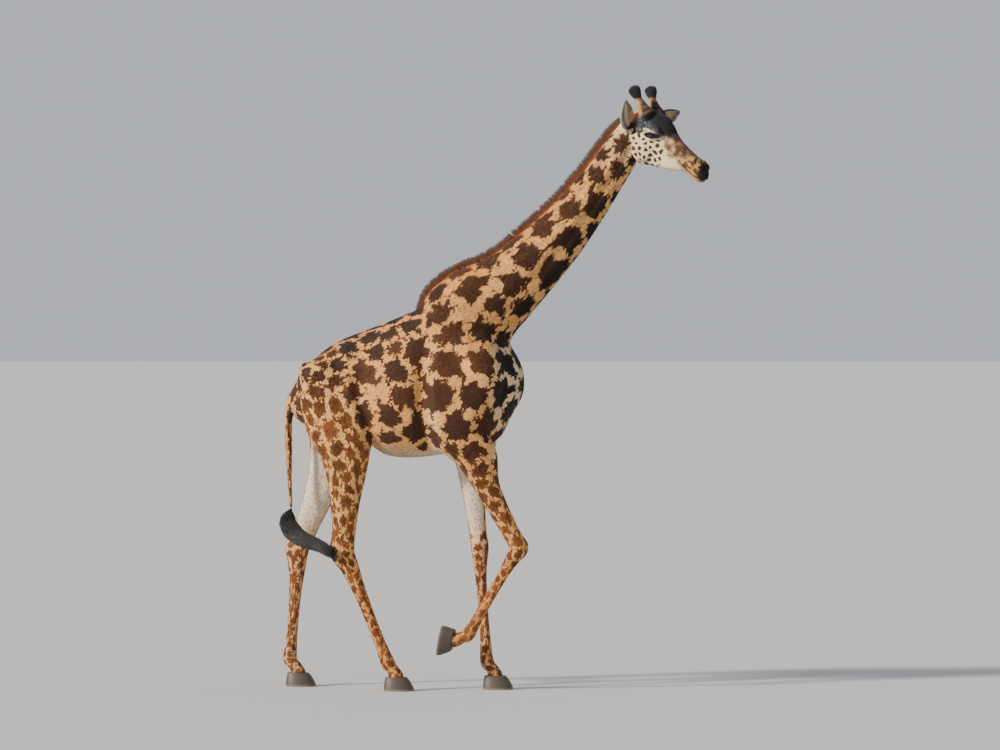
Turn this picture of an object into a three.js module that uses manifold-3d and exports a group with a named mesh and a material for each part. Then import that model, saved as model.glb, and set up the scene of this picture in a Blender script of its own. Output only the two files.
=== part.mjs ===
// A giraffe, standing mid-stride with its right forefoot lifted and its head turned to its right.
// Life size, in millimetres: +X is the way it walks, +Y its left side, +Z up.
//
// Each part of the body is a loft: oval sections carried along a curve through the joints.
// The lofts are joined into one body, and thin cuts then part it into head, neck, trunk and legs.

import * as THREE from 'three';
import { mergeVertices } from 'three/addons/utils/BufferGeometryUtils.js';
import Module from 'manifold-3d';

const wasm = await Module();
wasm.setup();

// ---- driving dimensions -------------------------------------------------------------------

const GAP = 0.4; // clearance between neighbouring parts
const DEGREE = Math.PI / 180;

const FETLOCK_HEIGHT = 190; // joint above the hooves, over the ground
const CORONET_HEIGHT = 92; // top edge of the hoof
const HOOF_LENGTH = 205;
const HOOF_WIDTH = 76; // of one of the two toes
const HOOF_CLEFT = 7; // between the toes
const CORONET_REACH = 62; // the coronet's centre ahead of the fetlock

const HEAD_PLACE = [1664, -40, 3890]; // the poll, between the ears
const HEAD_TURN = -28; // degrees, to its right
const HEAD_DIP = 34; // degrees, nose below level
const EYE_RADIUS = 26;
const EYE_PLACE = [200, 90, -28]; // from the poll: forward, to the side, up
const OSSICONE_LENGTH = 178; // from its root in the skull to the tip of the hair
const EAR_LENGTH = 234;
const EAR_WIDTH = 124;
const EAR_THICKNESS = 9;
const EAR_BOW = 26; // how far its middle is bowed backwards
const MANE_HEIGHT = 68;
const MANE_SUNK = 30; // how deep its root lies in the crest of the neck
const TAIL_LENGTH = 785;

// The legs' joints, from the top down. Each leg runs from the shoulder blade or the hip.
const LEGS = {
  foreleg_right: {
    kind: 'fore',
    blade: [430, -150, 2470],
    shoulder: [600, -165, 2140],
    elbow: [432, -178, 1760],
    knee: [848, -150, 975],
    fetlock: [497, -125, 382],
    swing: 100, // degrees that the lifted foot is folded back
  },
  foreleg_left: {
    kind: 'fore',
    blade: [410, 150, 2470],
    shoulder: [590, 165, 2140],
    elbow: [440, 170, 1740],
    knee: [528, 112, 970],
    fetlock: [590, 76, FETLOCK_HEIGHT],
    swing: 0,
  },
  hindleg_right: {
    kind: 'hind',
    blade: [-488, -112, 2250],
    shoulder: [-505, -165, 2100],
    elbow: [-330, -200, 1640],
    knee: [-352, -178, 945],
    fetlock: [-46, -184, FETLOCK_HEIGHT],
    swing: 0,
  },
  hindleg_left: {
    kind: 'hind',
    blade: [-500, 110, 2250],
    shoulder: [-520, 160, 2080],
    elbow: [-470, 190, 1640],
    knee: [-735, 160, 950],
    fetlock: [-792, 132, FETLOCK_HEIGHT],
    swing: 0,
  },
};

const COATS = {
  spotted: { color: 0xb98a5c, roughness: 0.85, metalness: 0 },
  face: { color: 0xcdb08a, roughness: 0.8, metalness: 0 },
  pale: { color: 0xd9cbb0, roughness: 0.85, metalness: 0 },
  mane: { color: 0x9a5a32, roughness: 0.9, metalness: 0 },
  black_hair: { color: 0x1c1714, roughness: 0.8, metalness: 0 },
  eye: { color: 0x120c08, roughness: 0.08, metalness: 0 },
  horn: { color: 0x3b322b, roughness: 0.5, metalness: 0 },
};

// ---- lofts --------------------------------------------------------------------------------

// A Catmull-Rom curve through rows of numbers, `steps` points to each span.
function smoothRows(rows, steps) {
  const result = [];
  const last = rows.length - 1;
  for (let span = 0; span < last; span++) {
    const [before, from, to, after] = [span - 1, span, span + 1, span + 2].map(
      (k) => rows[Math.min(Math.max(k, 0), last)],
    );
    for (let step = 0; step < steps; step++) {
      const t = step / steps;
      const row = from.map((value, k) => {
        const slope = (to[k] - before[k]) / 2;
        const next = (after[k] - value) / 2;
        const rise = to[k] - value;
        return value + slope * t + (3 * rise - 2 * slope - next) * t * t
          + (slope + next - 2 * rise) * t * t * t;
      });
      result.push(row);
    }
  }
  result.push(rows[last].slice());
  return result;
}

// Rings of points become a closed solid: walls between rings, and a flat strip across either end.
function solidFromRings(rings) {
  const sides = rings[0].length;
  const points = rings.flat();
  const faces = [];
  for (let ring = 0; ring < rings.length - 1; ring++) {
    for (let side = 0; side < sides; side++) {
      const next = (side + 1) % sides;
      const [a, b] = [ring * sides + side, ring * sides + next];
      faces.push(a, b, b + sides, a, b + sides, a + sides);
    }
  }
  for (const first of [0, points.length - sides]) {
    for (let side = 0; side < sides / 2 - 1; side++) {
      const [a, b] = [first + side, first + side + 1];
      const [c, d] = [first + sides - 2 - side, first + sides - 1 - side];
      faces.push(...(first > 0 ? [a, b, c, a, c, d] : [c, b, a, d, c, a]));
    }
  }
  if (signedVolume(points, faces) < 0) faces.reverse();
  const geometry = new THREE.BufferGeometry();
  geometry.setAttribute('position', new THREE.Float32BufferAttribute(
    points.flatMap((point) => point.toArray()), 3));
  geometry.setIndex(faces);
  return toManifold(geometry);
}

// Six times the volume inside the faces: below zero where they point inwards.
function signedVolume(points, faces) {
  const normal = new THREE.Vector3();
  let sum = 0;
  for (let k = 0; k < faces.length; k += 3) {
    const [a, b, c] = faces.slice(k, k + 3).map((index) => points[index]);
    sum += normal.crossVectors(a, b).dot(c);
  }
  return sum;
}

function toManifold(geometry) {
  geometry.deleteAttribute('normal');
  geometry.deleteAttribute('uv');
  const merged = mergeVertices(geometry, 1e-4);
  return new wasm.Manifold(new wasm.Mesh({
    numProp: 3,
    vertProperties: new Float32Array(merged.attributes.position.array),
    triVerts: new Uint32Array(merged.index.array),
  }));
}

// Oval sections along a curve. A row of `stations` is
// [x, y, z, top, low, side, pear]: the centre, the reach to the section's upper or front edge
// and to its lower or back edge, half its width, and how much wider it is low down than high up.
// Sections stand square to the curve, or upright and square to `facing` where that is given.
// `square` makes them boxier, `grow` fattens them all.
function loft(stations, { sides = 20, steps = 3, square = 2.2, grow = 0, facing = null } = {}) {
  const rows = smoothRows(stations, steps);
  const across = new THREE.Vector3(0, 1, 0);
  const rings = rows.map((row, k) => {
    const ahead = rows[Math.min(k + 1, rows.length - 1)];
    const behind = rows[Math.max(k - 1, 0)];
    const along = facing || new THREE.Vector3(
      ahead[0] - behind[0], ahead[1] - behind[1], ahead[2] - behind[2]).normalize();
    const lateral = across.clone().addScaledVector(along, -across.dot(along)).normalize();
    const upper = new THREE.Vector3().crossVectors(along, lateral);
    const centre = new THREE.Vector3(row[0], row[1], row[2]);
    if (k === 0) centre.addScaledVector(along, -grow);
    if (k === rows.length - 1) centre.addScaledVector(along, grow);
    return ovalRing(centre, upper, lateral, row, sides, square, grow);
  });
  return solidFromRings(rings);
}

function ovalRing(centre, upper, lateral, row, sides, square, grow) {
  const [, , , top, low, side, pear] = row;
  const ring = [];
  for (let k = 0; k < sides; k++) {
    const angle = (k / sides) * 2 * Math.PI;
    const [c, s] = [Math.cos(angle), Math.sin(angle)];
    const height = Math.sign(c) * Math.abs(c) ** (2 / square);
    const breadth = Math.sign(s) * Math.abs(s) ** (2 / square);
    const rise = (height > 0 ? top + grow : low + grow) * height;
    const reach = (side + grow) * (1 - (pear || 0) * height) * breadth;
    ring.push(centre.clone().addScaledVector(upper, rise).addScaledVector(lateral, reach));
  }
  return ring;
}

function ellipsoid(centre, radii, turn = 0, grow = 0) {
  const geometry = new THREE.SphereGeometry(1, 8, 6);
  geometry.scale(...radii.map((radius) => radius + grow));
  geometry.rotateY(turn * DEGREE);
  geometry.translate(...centre);
  return toManifold(geometry);
}

function joined(...solids) {
  return solids.reduce((whole, solid) => whole.add(solid));
}

function without(solid, ...others) {
  return others.reduce((rest, other) => rest.subtract(other), solid);
}

function transformed(solid, matrix) {
  return solid.transform(matrix.elements);
}

// Parts a solid by a plane through `point` square to `normal`: [the side it points to, the other].
function parted(solid, point, normal) {
  const unit = new THREE.Vector3(...normal).normalize();
  const offset = unit.dot(new THREE.Vector3(...point));
  const ahead = solid.trimByPlane(unit.toArray(), offset + GAP / 2);
  const behind = solid.trimByPlane(unit.clone().negate().toArray(), -offset + GAP / 2);
  return [ahead, behind];
}

const mirrored = ([x, y, z], side) => [x, y * side, z];

// ---- trunk and neck -----------------------------------------------------------------------

// Half the trunk's height is measured from its middle line.
function trunkRow(x, top, bottom, side, pear) {
  const middle = (top + bottom) / 2;
  return [x, 0, middle, top - middle, middle - bottom, side, pear];
}

const TRUNK = [
  trunkRow(-752, 2030, 1900, 60, 0),
  trunkRow(-715, 2105, 1830, 120, 0.05),
  trunkRow(-640, 2192, 1780, 180, 0.1),
  trunkRow(-540, 2298, 1740, 225, 0.1),
  trunkRow(-400, 2382, 1715, 255, 0.12),
  trunkRow(-250, 2440, 1690, 275, 0.14),
  trunkRow(-90, 2500, 1590, 305, 0.16),
  trunkRow(80, 2570, 1572, 325, 0.2),
  trunkRow(260, 2640, 1590, 322, 0.22),
  trunkRow(440, 2600, 1625, 300, 0.15),
  trunkRow(600, 2480, 1680, 262, 0.05),
  trunkRow(700, 2410, 1768, 220, 0),
  trunkRow(775, 2320, 1880, 175, 0),
  trunkRow(825, 2230, 1960, 125, 0),
  trunkRow(850, 2150, 2030, 60, 0),
];

const NECK = [
  [345, 0, 2372, 285, 300, 236, 0],
  [430, 0, 2476, 318, 318, 234, 0],
  [555, 0, 2598, 300, 305, 218, 0],
  [769, 0, 2765, 232, 244, 176, 0.05],
  [1054, 0, 3037, 192, 196, 138, 0.05],
  [1254, -4, 3270, 160, 164, 115, 0.05],
  [1404, -14, 3478, 136, 145, 99, 0.05],
  [1532, -26, 3667, 122, 136, 90, 0],
  [1625, -38, 3795, 112, 125, 82, 0],
];

// ---- head ---------------------------------------------------------------------------------

// From the poll: how far forward, the upper and lower outline, half the width, and the shape.
function headRow(forward, top, bottom, side, pear) {
  const middle = (top + bottom) / 2;
  return [forward, 0, middle, top - middle, middle - bottom, side, pear];
}

const HEAD = [
  headRow(-70, 14, -200, 62, 0),
  headRow(0, 50, -250, 84, 0),
  headRow(70, 84, -272, 96, -0.05),
  headRow(150, 112, -272, 97, -0.1),
  headRow(225, 103, -246, 90, -0.1),
  headRow(305, 72, -213, 75, -0.05),
  headRow(380, 52, -178, 64, 0),
  headRow(450, 42, -142, 58, 0),
  headRow(515, 35, -112, 56, 0),
  headRow(575, 28, -112, 58, 0),
  headRow(628, 14, -116, 55, 0),
  headRow(664, -8, -106, 45, 0),
  headRow(686, -34, -86, 26, 0),
];

const HEAD_FRAME = new THREE.Matrix4()
  .makeTranslation(...HEAD_PLACE)
  .multiply(new THREE.Matrix4().makeRotationZ(HEAD_TURN * DEGREE))
  .multiply(new THREE.Matrix4().makeRotationY(HEAD_DIP * DEGREE));

function headFlesh(grow = 0) {
  const solids = [loft(HEAD, { sides: 14, steps: 2, square: 2.4, grow })];
  for (const side of [-1, 1]) {
    solids.push(ellipsoid(mirrored([182, 70, -6], side), [92, 40, 58], 14, grow)); // brow
    solids.push(ellipsoid(mirrored([592, 32, -6], side), [62, 29, 30], 12, grow)); // nostril
  }
  return transformed(joined(...solids), HEAD_FRAME);
}

function eye(side, grow = 0) {
  return transformed(ellipsoid(
    mirrored(EYE_PLACE, side), [EYE_RADIUS, EYE_RADIUS, EYE_RADIUS], 0, grow), HEAD_FRAME);
}

// A stem that leans back and out, and swells into a knob of hair.
const OSSICONE_ROOT = [50, 62, 66];
const OSSICONE_LEAN = [-0.84, 0.19, 0.51];
const OSSICONE_PROFILE = [
  [0, 44], [0.2, 38], [0.4, 27], [0.56, 26], [0.7, 34], [0.84, 38], [0.94, 31], [1, 17],
];

function ossicone(side, grow = 0) {
  const rows = OSSICONE_PROFILE.map(([share, radius]) => {
    const place = OSSICONE_ROOT.map((value, k) => value + OSSICONE_LEAN[k] * OSSICONE_LENGTH * share);
    return [...mirrored(place, side), radius, radius, radius, 0];
  });
  return transformed(loft(rows, { sides: 8, steps: 1, square: 2, grow }), HEAD_FRAME);
}

// An ear is a leaf rolled into a scoop. `tip` is its direction and `mouth` the way it opens,
// both in the head's own frame.
function ear({ root: base, tip, mouth }, grow = 0) {
  const along = new THREE.Vector3(...tip).normalize();
  const open = new THREE.Vector3(...mouth);
  open.addScaledVector(along, -open.dot(along)).normalize();
  const across = new THREE.Vector3().crossVectors(along, open);
  const root = new THREE.Vector3(...base);
  const rings = [];
  const levels = 6;
  for (let level = 0; level <= levels; level++) {
    const t = level / levels;
    const end = Math.sign(t - 0.5) * (t === 0 || t === 1 ? grow : 0);
    const centre = root.clone().addScaledVector(along, EAR_LENGTH * t + end)
      .addScaledVector(open, -EAR_BOW * Math.sin(Math.PI * t));
    rings.push(scoopRing(centre, across, open, earHalfWidth(t), earRoll(t), grow));
  }
  return transformed(solidFromRings(rings), HEAD_FRAME);
}

function earHalfWidth(t) {
  return (EAR_WIDTH / 2) * (0.42 + 1.5 * t ** 0.7 * (1 - t) ** 0.62 * (1 - 0.1 * t)) * (1 - t ** 6 * 0.6);
}

const earRoll = (t) => 2.05 - 1.1 * t; // half the angle that the scoop wraps, in radians

// A thick arc, with its hollow towards `open`.
function scoopRing(centre, across, open, half, roll, grow) {
  const radius = half / Math.sin(Math.min(roll, Math.PI / 2));
  const ring = [];
  const arc = 6;
  const wrap = roll + grow / radius;
  const place = (angle, r) => centre.clone()
    .addScaledVector(across, r * Math.sin(angle))
    .addScaledVector(open, radius - r * Math.cos(angle));
  for (let k = 0; k < arc; k++) {
    ring.push(place(wrap * (1 - (2 * k) / (arc - 1)), radius + grow));
  }
  for (let k = 0; k < arc; k++) {
    ring.push(place(-wrap * (1 - (2 * k) / (arc - 1)), radius - EAR_THICKNESS - grow));
  }
  return ring;
}

// ---- legs ---------------------------------------------------------------------------------

// Along each bone: [bone, share of its length, front, back, half width].
const FORELEG = [
  ['blade', 0, 90, 90, 42],
  ['blade', 0.45, 165, 170, 92],
  ['blade', 1, 168, 205, 118],
  ['upper', 0.5, 150, 178, 120],
  ['upper', 1, 110, 150, 108],
  ['middle', 0.2, 104, 116, 88],
  ['middle', 0.45, 86, 90, 70],
  ['middle', 0.75, 66, 68, 56],
  ['middle', 0.92, 62, 62, 56],
  ['middle', 1, 68, 60, 62],
  ['lower', 0.1, 56, 56, 56],
  ['lower', 0.25, 40, 46, 42],
  ['lower', 0.55, 34, 40, 36],
  ['lower', 0.85, 38, 44, 42],
  ['lower', 1, 48, 54, 50],
];

const HINDLEG = [
  ['blade', 0, 90, 90, 50],
  ['blade', 0.5, 170, 150, 100],
  ['blade', 1, 208, 188, 124],
  ['upper', 0.5, 232, 215, 132],
  ['upper', 0.9, 190, 200, 118],
  ['middle', 0.25, 142, 142, 92],
  ['middle', 0.5, 106, 110, 72],
  ['middle', 0.8, 80, 88, 57],
  ['middle', 1, 72, 104, 58],
  ['lower', 0.14, 62, 74, 52],
  ['lower', 0.35, 46, 52, 43],
  ['lower', 0.62, 38, 44, 39],
  ['lower', 0.87, 41, 46, 43],
  ['lower', 1, 50, 56, 51],
];

// Below the fetlock, in the foot's own frame with the fetlock at its origin.
const PASTERN = [
  [26, 0, -38, 42, 46, 46, 0],
  [50, 0, -76, 50, 54, 56, 0],
  [CORONET_REACH, 0, CORONET_HEIGHT - FETLOCK_HEIGHT - 40, 62, 66, 68, 0],
];

// The foot ends on a flat face that lies just above the tops of its two toes.
function trimmedAtCoronet(foot, frame) {
  const coronet = new THREE.Vector3(0, 0, CORONET_HEIGHT - FETLOCK_HEIGHT + GAP).applyMatrix4(frame);
  const upright = new THREE.Vector3(0, 0, 1).transformDirection(frame);
  return foot.trimByPlane(upright.toArray(), upright.dot(coronet));
}

const lerp = (from, to, share) => from.map((value, k) => value + (to[k] - value) * share);

function bones(leg) {
  return {
    blade: [leg.blade, leg.shoulder],
    upper: [leg.shoulder, leg.elbow],
    middle: [leg.elbow, leg.knee],
    lower: [leg.knee, leg.fetlock],
  };
}

function footFrame(leg) {
  return new THREE.Matrix4().makeTranslation(...leg.fetlock)
    .multiply(new THREE.Matrix4().makeRotationY(leg.swing * DEGREE));
}

function legStations(leg) {
  const frame = footFrame(leg);
  const rows = (leg.kind === 'fore' ? FORELEG : HINDLEG).map(([bone, share, front, back, side]) => {
    const [from, to] = bones(leg)[bone];
    return [...lerp(from, to, share), front, back, side, 0];
  });
  for (const [x, y, z, ...section] of PASTERN) {
    const place = new THREE.Vector3(x, y, z).applyMatrix4(frame);
    rows.push([...place.toArray(), ...section]);
  }
  return rows;
}

function legFlesh(leg, grow = 0) {
  return loft(legStations(leg), { sides: 10, steps: 1, square: 2.2, grow });
}

const ROOM = 8; // how far a leg's room reaches past its outline
const ROOM_FLOOR = 1350; // rooms end here, well below the belly

// The room that a leg takes out of the body: the leg's own outline from the side, with upright
// walls that reach past the skin, and a back wall short of the body's middle.
function legRoom(leg, grow = 0) {
  const side = Math.sign(leg.elbow[1]);
  const inBody = legStations(leg).filter(([, , z]) => z > ROOM_FLOOR);
  const rows = inBody.map(([x, y, z, front, back, half]) => {
    const inner = Math.abs(y) - half - 12;
    const outer = Math.abs(y) + half + 110;
    return [x, (side * (inner + outer)) / 2, z, front + ROOM, back + ROOM, (outer - inner) / 2, 0];
  });
  return loft(rows, { sides: 8, steps: 1, square: 5, grow, facing: new THREE.Vector3(0, 0, -1) });
}

// One toe of a hoof, from the coronet down to its flat sole, in the foot's own frame.
function toe(inward) {
  const levels = [
    [CORONET_HEIGHT, 0.7, -16],
    [CORONET_HEIGHT * 0.8, 0.8, -9],
    [CORONET_HEIGHT * 0.35, 0.95, 0],
    [0, 1, 6],
  ];
  const sides = 10;
  const rings = levels.map(([height, scale, shift]) => {
    const ring = [];
    for (let k = 0; k < sides; k++) {
      const angle = (k / sides) * 2 * Math.PI;
      const point = toeOutline(angle);
      const x = CORONET_REACH + 8 + shift + point[0] * scale;
      const y = (HOOF_CLEFT / 2 + HOOF_WIDTH * point[1] * scale) * inward;
      ring.push(new THREE.Vector3(x, y, height - FETLOCK_HEIGHT));
    }
    return ring;
  });
  return solidFromRings(rings);
}

// The sole's outline: straight along the cleft, round outside, drawn to a blunt point in front.
function toeOutline(angle) {
  const [c, s] = [Math.cos(angle), Math.sin(angle)];
  const x = (HOOF_LENGTH / 2) * Math.sign(c) * Math.abs(c) ** 0.8;
  const outer = Math.max(s, 0) ** 0.7 * (c > 0 ? 1 - 0.15 * c : 1);
  return [x, s > 0 ? outer : 0.04 * s];
}

// ---- mane and tail ------------------------------------------------------------------------

// A fin of stiff hair along the crest of the neck, from the withers to behind the ears.
function mane() {
  const rows = smoothRows(NECK, 1);
  const stations = rows.map((row, k) => {
    const ahead = rows[Math.min(k + 1, rows.length - 1)];
    const behind = rows[Math.max(k - 1, 0)];
    const slope = Math.atan2(ahead[2] - behind[2], ahead[0] - behind[0]);
    const t = k / (rows.length - 1);
    const height = MANE_HEIGHT * Math.min(1, 0.25 + 5 * t) * (1 - 0.35 * Math.max(0, t - 0.9) * 10);
    const crest = row[3] - MANE_SUNK;
    return [
      row[0] - Math.sin(slope) * crest, row[1], row[2] + Math.cos(slope) * crest,
      height + MANE_SUNK, 10, 17, 0.45,
    ];
  });
  return loft(stations, { sides: 8, steps: 2, square: 2 });
}

const TAIL_ROOT = [-728, 0, 2010];

function tailStations() {
  const [x, y, z] = TAIL_ROOT;
  return [
    [x + 70, y, z + 60, 52, 52, 46, 0],
    [x - 10, y, z - 8, 46, 46, 42, 0],
    [x - 44, y - 2, z - 110, 33, 33, 32, 0],
    [x - 46, y - 5, z - 300, 29, 29, 28, 0],
    [x - 40, y - 10, z - 540, 22, 22, 22, 0],
    [x - 26, y - 16, z - TAIL_LENGTH, 15, 15, 15, 0],
  ];
}

// The black tassel hangs from the tail's end, and swings forward past the right hock.
const TASSEL = [
  [-752, -17, 1224, 17, 17, 17, 0],
  [-772, -26, 1180, 58, 52, 40, 0],
  [-765, -50, 1110, 74, 62, 50, 0],
  [-700, -95, 1045, 74, 70, 48, 0],
  [-610, -160, 1010, 66, 66, 38, 0],
  [-510, -238, 985, 66, 66, 28, 0],
  [-420, -285, 940, 54, 54, 20, 0],
  [-355, -300, 890, 26, 26, 12, 0],
];

// ---- the whole animal ---------------------------------------------------------------------

const animal = new THREE.Group();

function addPart(name, solid, coat) {
  const { vertProperties, triVerts, numProp } = solid.getMesh();
  const geometry = new THREE.BufferGeometry();
  const points = new Float32Array((vertProperties.length / numProp) * 3);
  for (let k = 0; k < points.length / 3; k++) {
    points.set(vertProperties.subarray(k * numProp, k * numProp + 3), k * 3);
  }
  geometry.setAttribute('position', new THREE.BufferAttribute(points, 3));
  geometry.setIndex(new THREE.BufferAttribute(new Uint32Array(triVerts), 1));
  geometry.computeVertexNormals();
  const mesh = new THREE.Mesh(geometry, new THREE.MeshStandardMaterial(COATS[coat]));
  mesh.name = name;
  animal.add(mesh);
}

// eyes, ossicones and ears, and the room they take in the head
const SIDES = { right: -1, left: 1 };
const EARS = {
  right: { root: [3, -82, -128], tip: [-0.32, -0.32, 0.89], mouth: [0.98, 0.1, 0] },
  left: { root: [26, 84, -42], tip: [0.41, 0.57, 0.71], mouth: [0.7, -0.5, 0.1] },
};
const rooms = [];
for (const [name, side] of Object.entries(SIDES)) {
  addPart(`eye_${name}`, eye(side), 'eye');
  addPart(`ossicone_${name}`, ossicone(side), 'face');
  addPart(`ear_${name}`, without(ear(EARS[name]), ossicone(side, GAP)), 'pale');
  rooms.push(eye(side, GAP), ossicone(side, GAP), ear(EARS[name], GAP));
}

const tail = loft(tailStations(), { sides: 8, steps: 2, square: 2 });
const tailRoom = loft(tailStations(), { sides: 8, steps: 2, square: 2, grow: GAP });
const neckLoft = (grow) => loft(NECK, { sides: 14, steps: 2, square: 2.1, grow });
const trunkLoft = (grow) => loft(
  TRUNK, { sides: 16, steps: 1, square: 2.2, grow, facing: new THREE.Vector3(1, 0, 0) });

// Cuts through the neck's base and behind the jaw: a point, and the way that the plane faces.
const NECK_CUT = [[600, 0, 2520], [0.62, 0, 0.78]];
const HEAD_CUT = [[1640, -38, 3730], [0.86, -0.2, 0.16]];
const KNEE_CUT = 0.02; // down the shin, as a share of its length
const FETLOCK_CUT = 0.88;

const legs = Object.entries(LEGS);
const torso = joined(trunkLoft(0), neckLoft(0));
const legRooms = legs.map(([, leg]) => joined(legRoom(leg, GAP), legFlesh(leg, 3 * GAP)));
const barrel = without(torso, tailRoom, ...legRooms);
const whole = without(joined(barrel, headFlesh()), ...rooms);
const [upper, trunk] = parted(whole, ...NECK_CUT);
const [head, neck] = parted(upper, ...HEAD_CUT);
addPart('trunk', trunk, 'spotted');
addPart('neck', neck, 'spotted');
addPart('head', head, 'face');

const manned = without(
  mane(), neckLoft(GAP), trunkLoft(GAP), headFlesh(GAP), ossicone(-1, GAP), ossicone(1, GAP));
addPart('mane', manned, 'mane');

addPart('tail', tail, 'spotted');
const tassel = loft(TASSEL, { sides: 8, steps: 2, square: 2 });
addPart('tail_tassel', without(tassel, tailRoom), 'black_hair');

for (const [name, leg] of legs) {
  const frame = footFrame(leg);
  const shoulder = torso.intersect(legRoom(leg));
  const flesh = without(joined(legFlesh(leg), shoulder), tailRoom);
  const shin = new THREE.Vector3(...leg.fetlock).sub(new THREE.Vector3(...leg.knee)).normalize();
  const [foot, rest] = parted(flesh, lerp(leg.knee, leg.fetlock, FETLOCK_CUT), shin.toArray());
  const [lower, top] = parted(rest, lerp(leg.knee, leg.fetlock, KNEE_CUT), shin.toArray());
  addPart(`${name}_upper`, top, 'spotted');
  addPart(`${name}_lower`, lower, 'spotted');
  addPart(`${name}_foot`, trimmedAtCoronet(foot, frame), 'pale');
  for (const side of [-1, 1]) {
    const isRight = name.endsWith('right');
    const where = (side < 0) === isRight ? 'outer' : 'inner';
    addPart(`hoof_${name.replace('leg', '')}_${where}`, transformed(toe(side), frame), 'horn');
  }
}

// The origin is on the ground under the middle of the whole animal.
const box = new THREE.Box3().setFromObject(animal);
const centre = box.getCenter(new THREE.Vector3());
for (const mesh of animal.children) {
  mesh.geometry.translate(-centre.x, -centre.y, -box.min.z);
}

export default animal;
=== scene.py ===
"""A life-size giraffe walking with its right forefoot lifted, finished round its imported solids.

Metres, in the frame of the solids: +X the way it walks, +Y its left side, +Z up.
"""

import bpy
import numpy as np
from mathutils import Matrix, Vector


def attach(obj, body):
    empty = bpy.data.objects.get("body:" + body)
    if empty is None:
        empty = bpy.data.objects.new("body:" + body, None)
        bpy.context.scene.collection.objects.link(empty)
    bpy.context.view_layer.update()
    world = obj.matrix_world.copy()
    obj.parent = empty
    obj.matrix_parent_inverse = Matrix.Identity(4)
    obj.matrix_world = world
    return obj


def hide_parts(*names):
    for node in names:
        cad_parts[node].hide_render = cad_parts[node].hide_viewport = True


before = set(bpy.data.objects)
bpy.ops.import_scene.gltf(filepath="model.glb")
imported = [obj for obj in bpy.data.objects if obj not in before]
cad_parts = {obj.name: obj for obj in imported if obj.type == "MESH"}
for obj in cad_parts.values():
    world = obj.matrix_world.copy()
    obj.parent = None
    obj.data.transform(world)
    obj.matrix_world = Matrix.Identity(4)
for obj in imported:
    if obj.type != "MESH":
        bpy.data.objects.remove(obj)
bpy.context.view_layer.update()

# ---- camera ---------------------------------------------------------------------------------
# A long lens nearly 40 m from the animal, a little to the front of its right side.

AZIMUTH = np.radians(10.0)
TILT = np.radians(0.928)
camera_data = bpy.data.cameras.new("camera")
camera_data.lens = 200.0
camera_data.sensor_width = 36.0
camera_data.clip_end = 200.0
camera = bpy.data.objects.new("camera", camera_data)
camera.location = (6.578, -37.107, 2.75)
camera.rotation_euler = (np.pi / 2 - TILT, 0.0, AZIMUTH)
bpy.context.scene.collection.objects.link(camera)
bpy.context.scene.camera = camera

# ---- shape of the body ----------------------------------------------------------------------
# Flesh under the coat: head, neck, trunk, legs, ears and tail grow out of one another, and one
# skin covers them all. Each is a loft: oval sections carried along a curve through its joints.

MIDDLE = np.array([0.656, -0.001, 0.0])  # of the whole animal, from the girth
COAT_DEPTH = 0.005


def smooth(rows, steps):
    """Catmull-Rom curve: between two rows, the cubic whose slope at each is half the difference
    of that row's neighbours, taken at `steps` even shares."""
    rows = np.asarray(rows, float)
    padded = np.vstack([rows[:1], rows, rows[-1:]])
    before, start, end, after = (padded[k : k + len(rows) - 1, None] for k in range(4))
    share = (np.arange(steps) / steps)[None, :, None]
    slope, last_slope, rise = (end - before) / 2, (after - start) / 2, end - start
    bend = 3 * rise - 2 * slope - last_slope
    spans = start + slope * share + bend * share**2 + (slope + last_slope - 2 * rise) * share**3
    return np.vstack([spans.reshape(-1, rows.shape[1]), rows[-1:]])


def unit(vectors):
    """Each vector over its own length."""
    return vectors / np.maximum(np.linalg.norm(vectors, axis=-1, keepdims=True), 1e-9)


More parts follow.
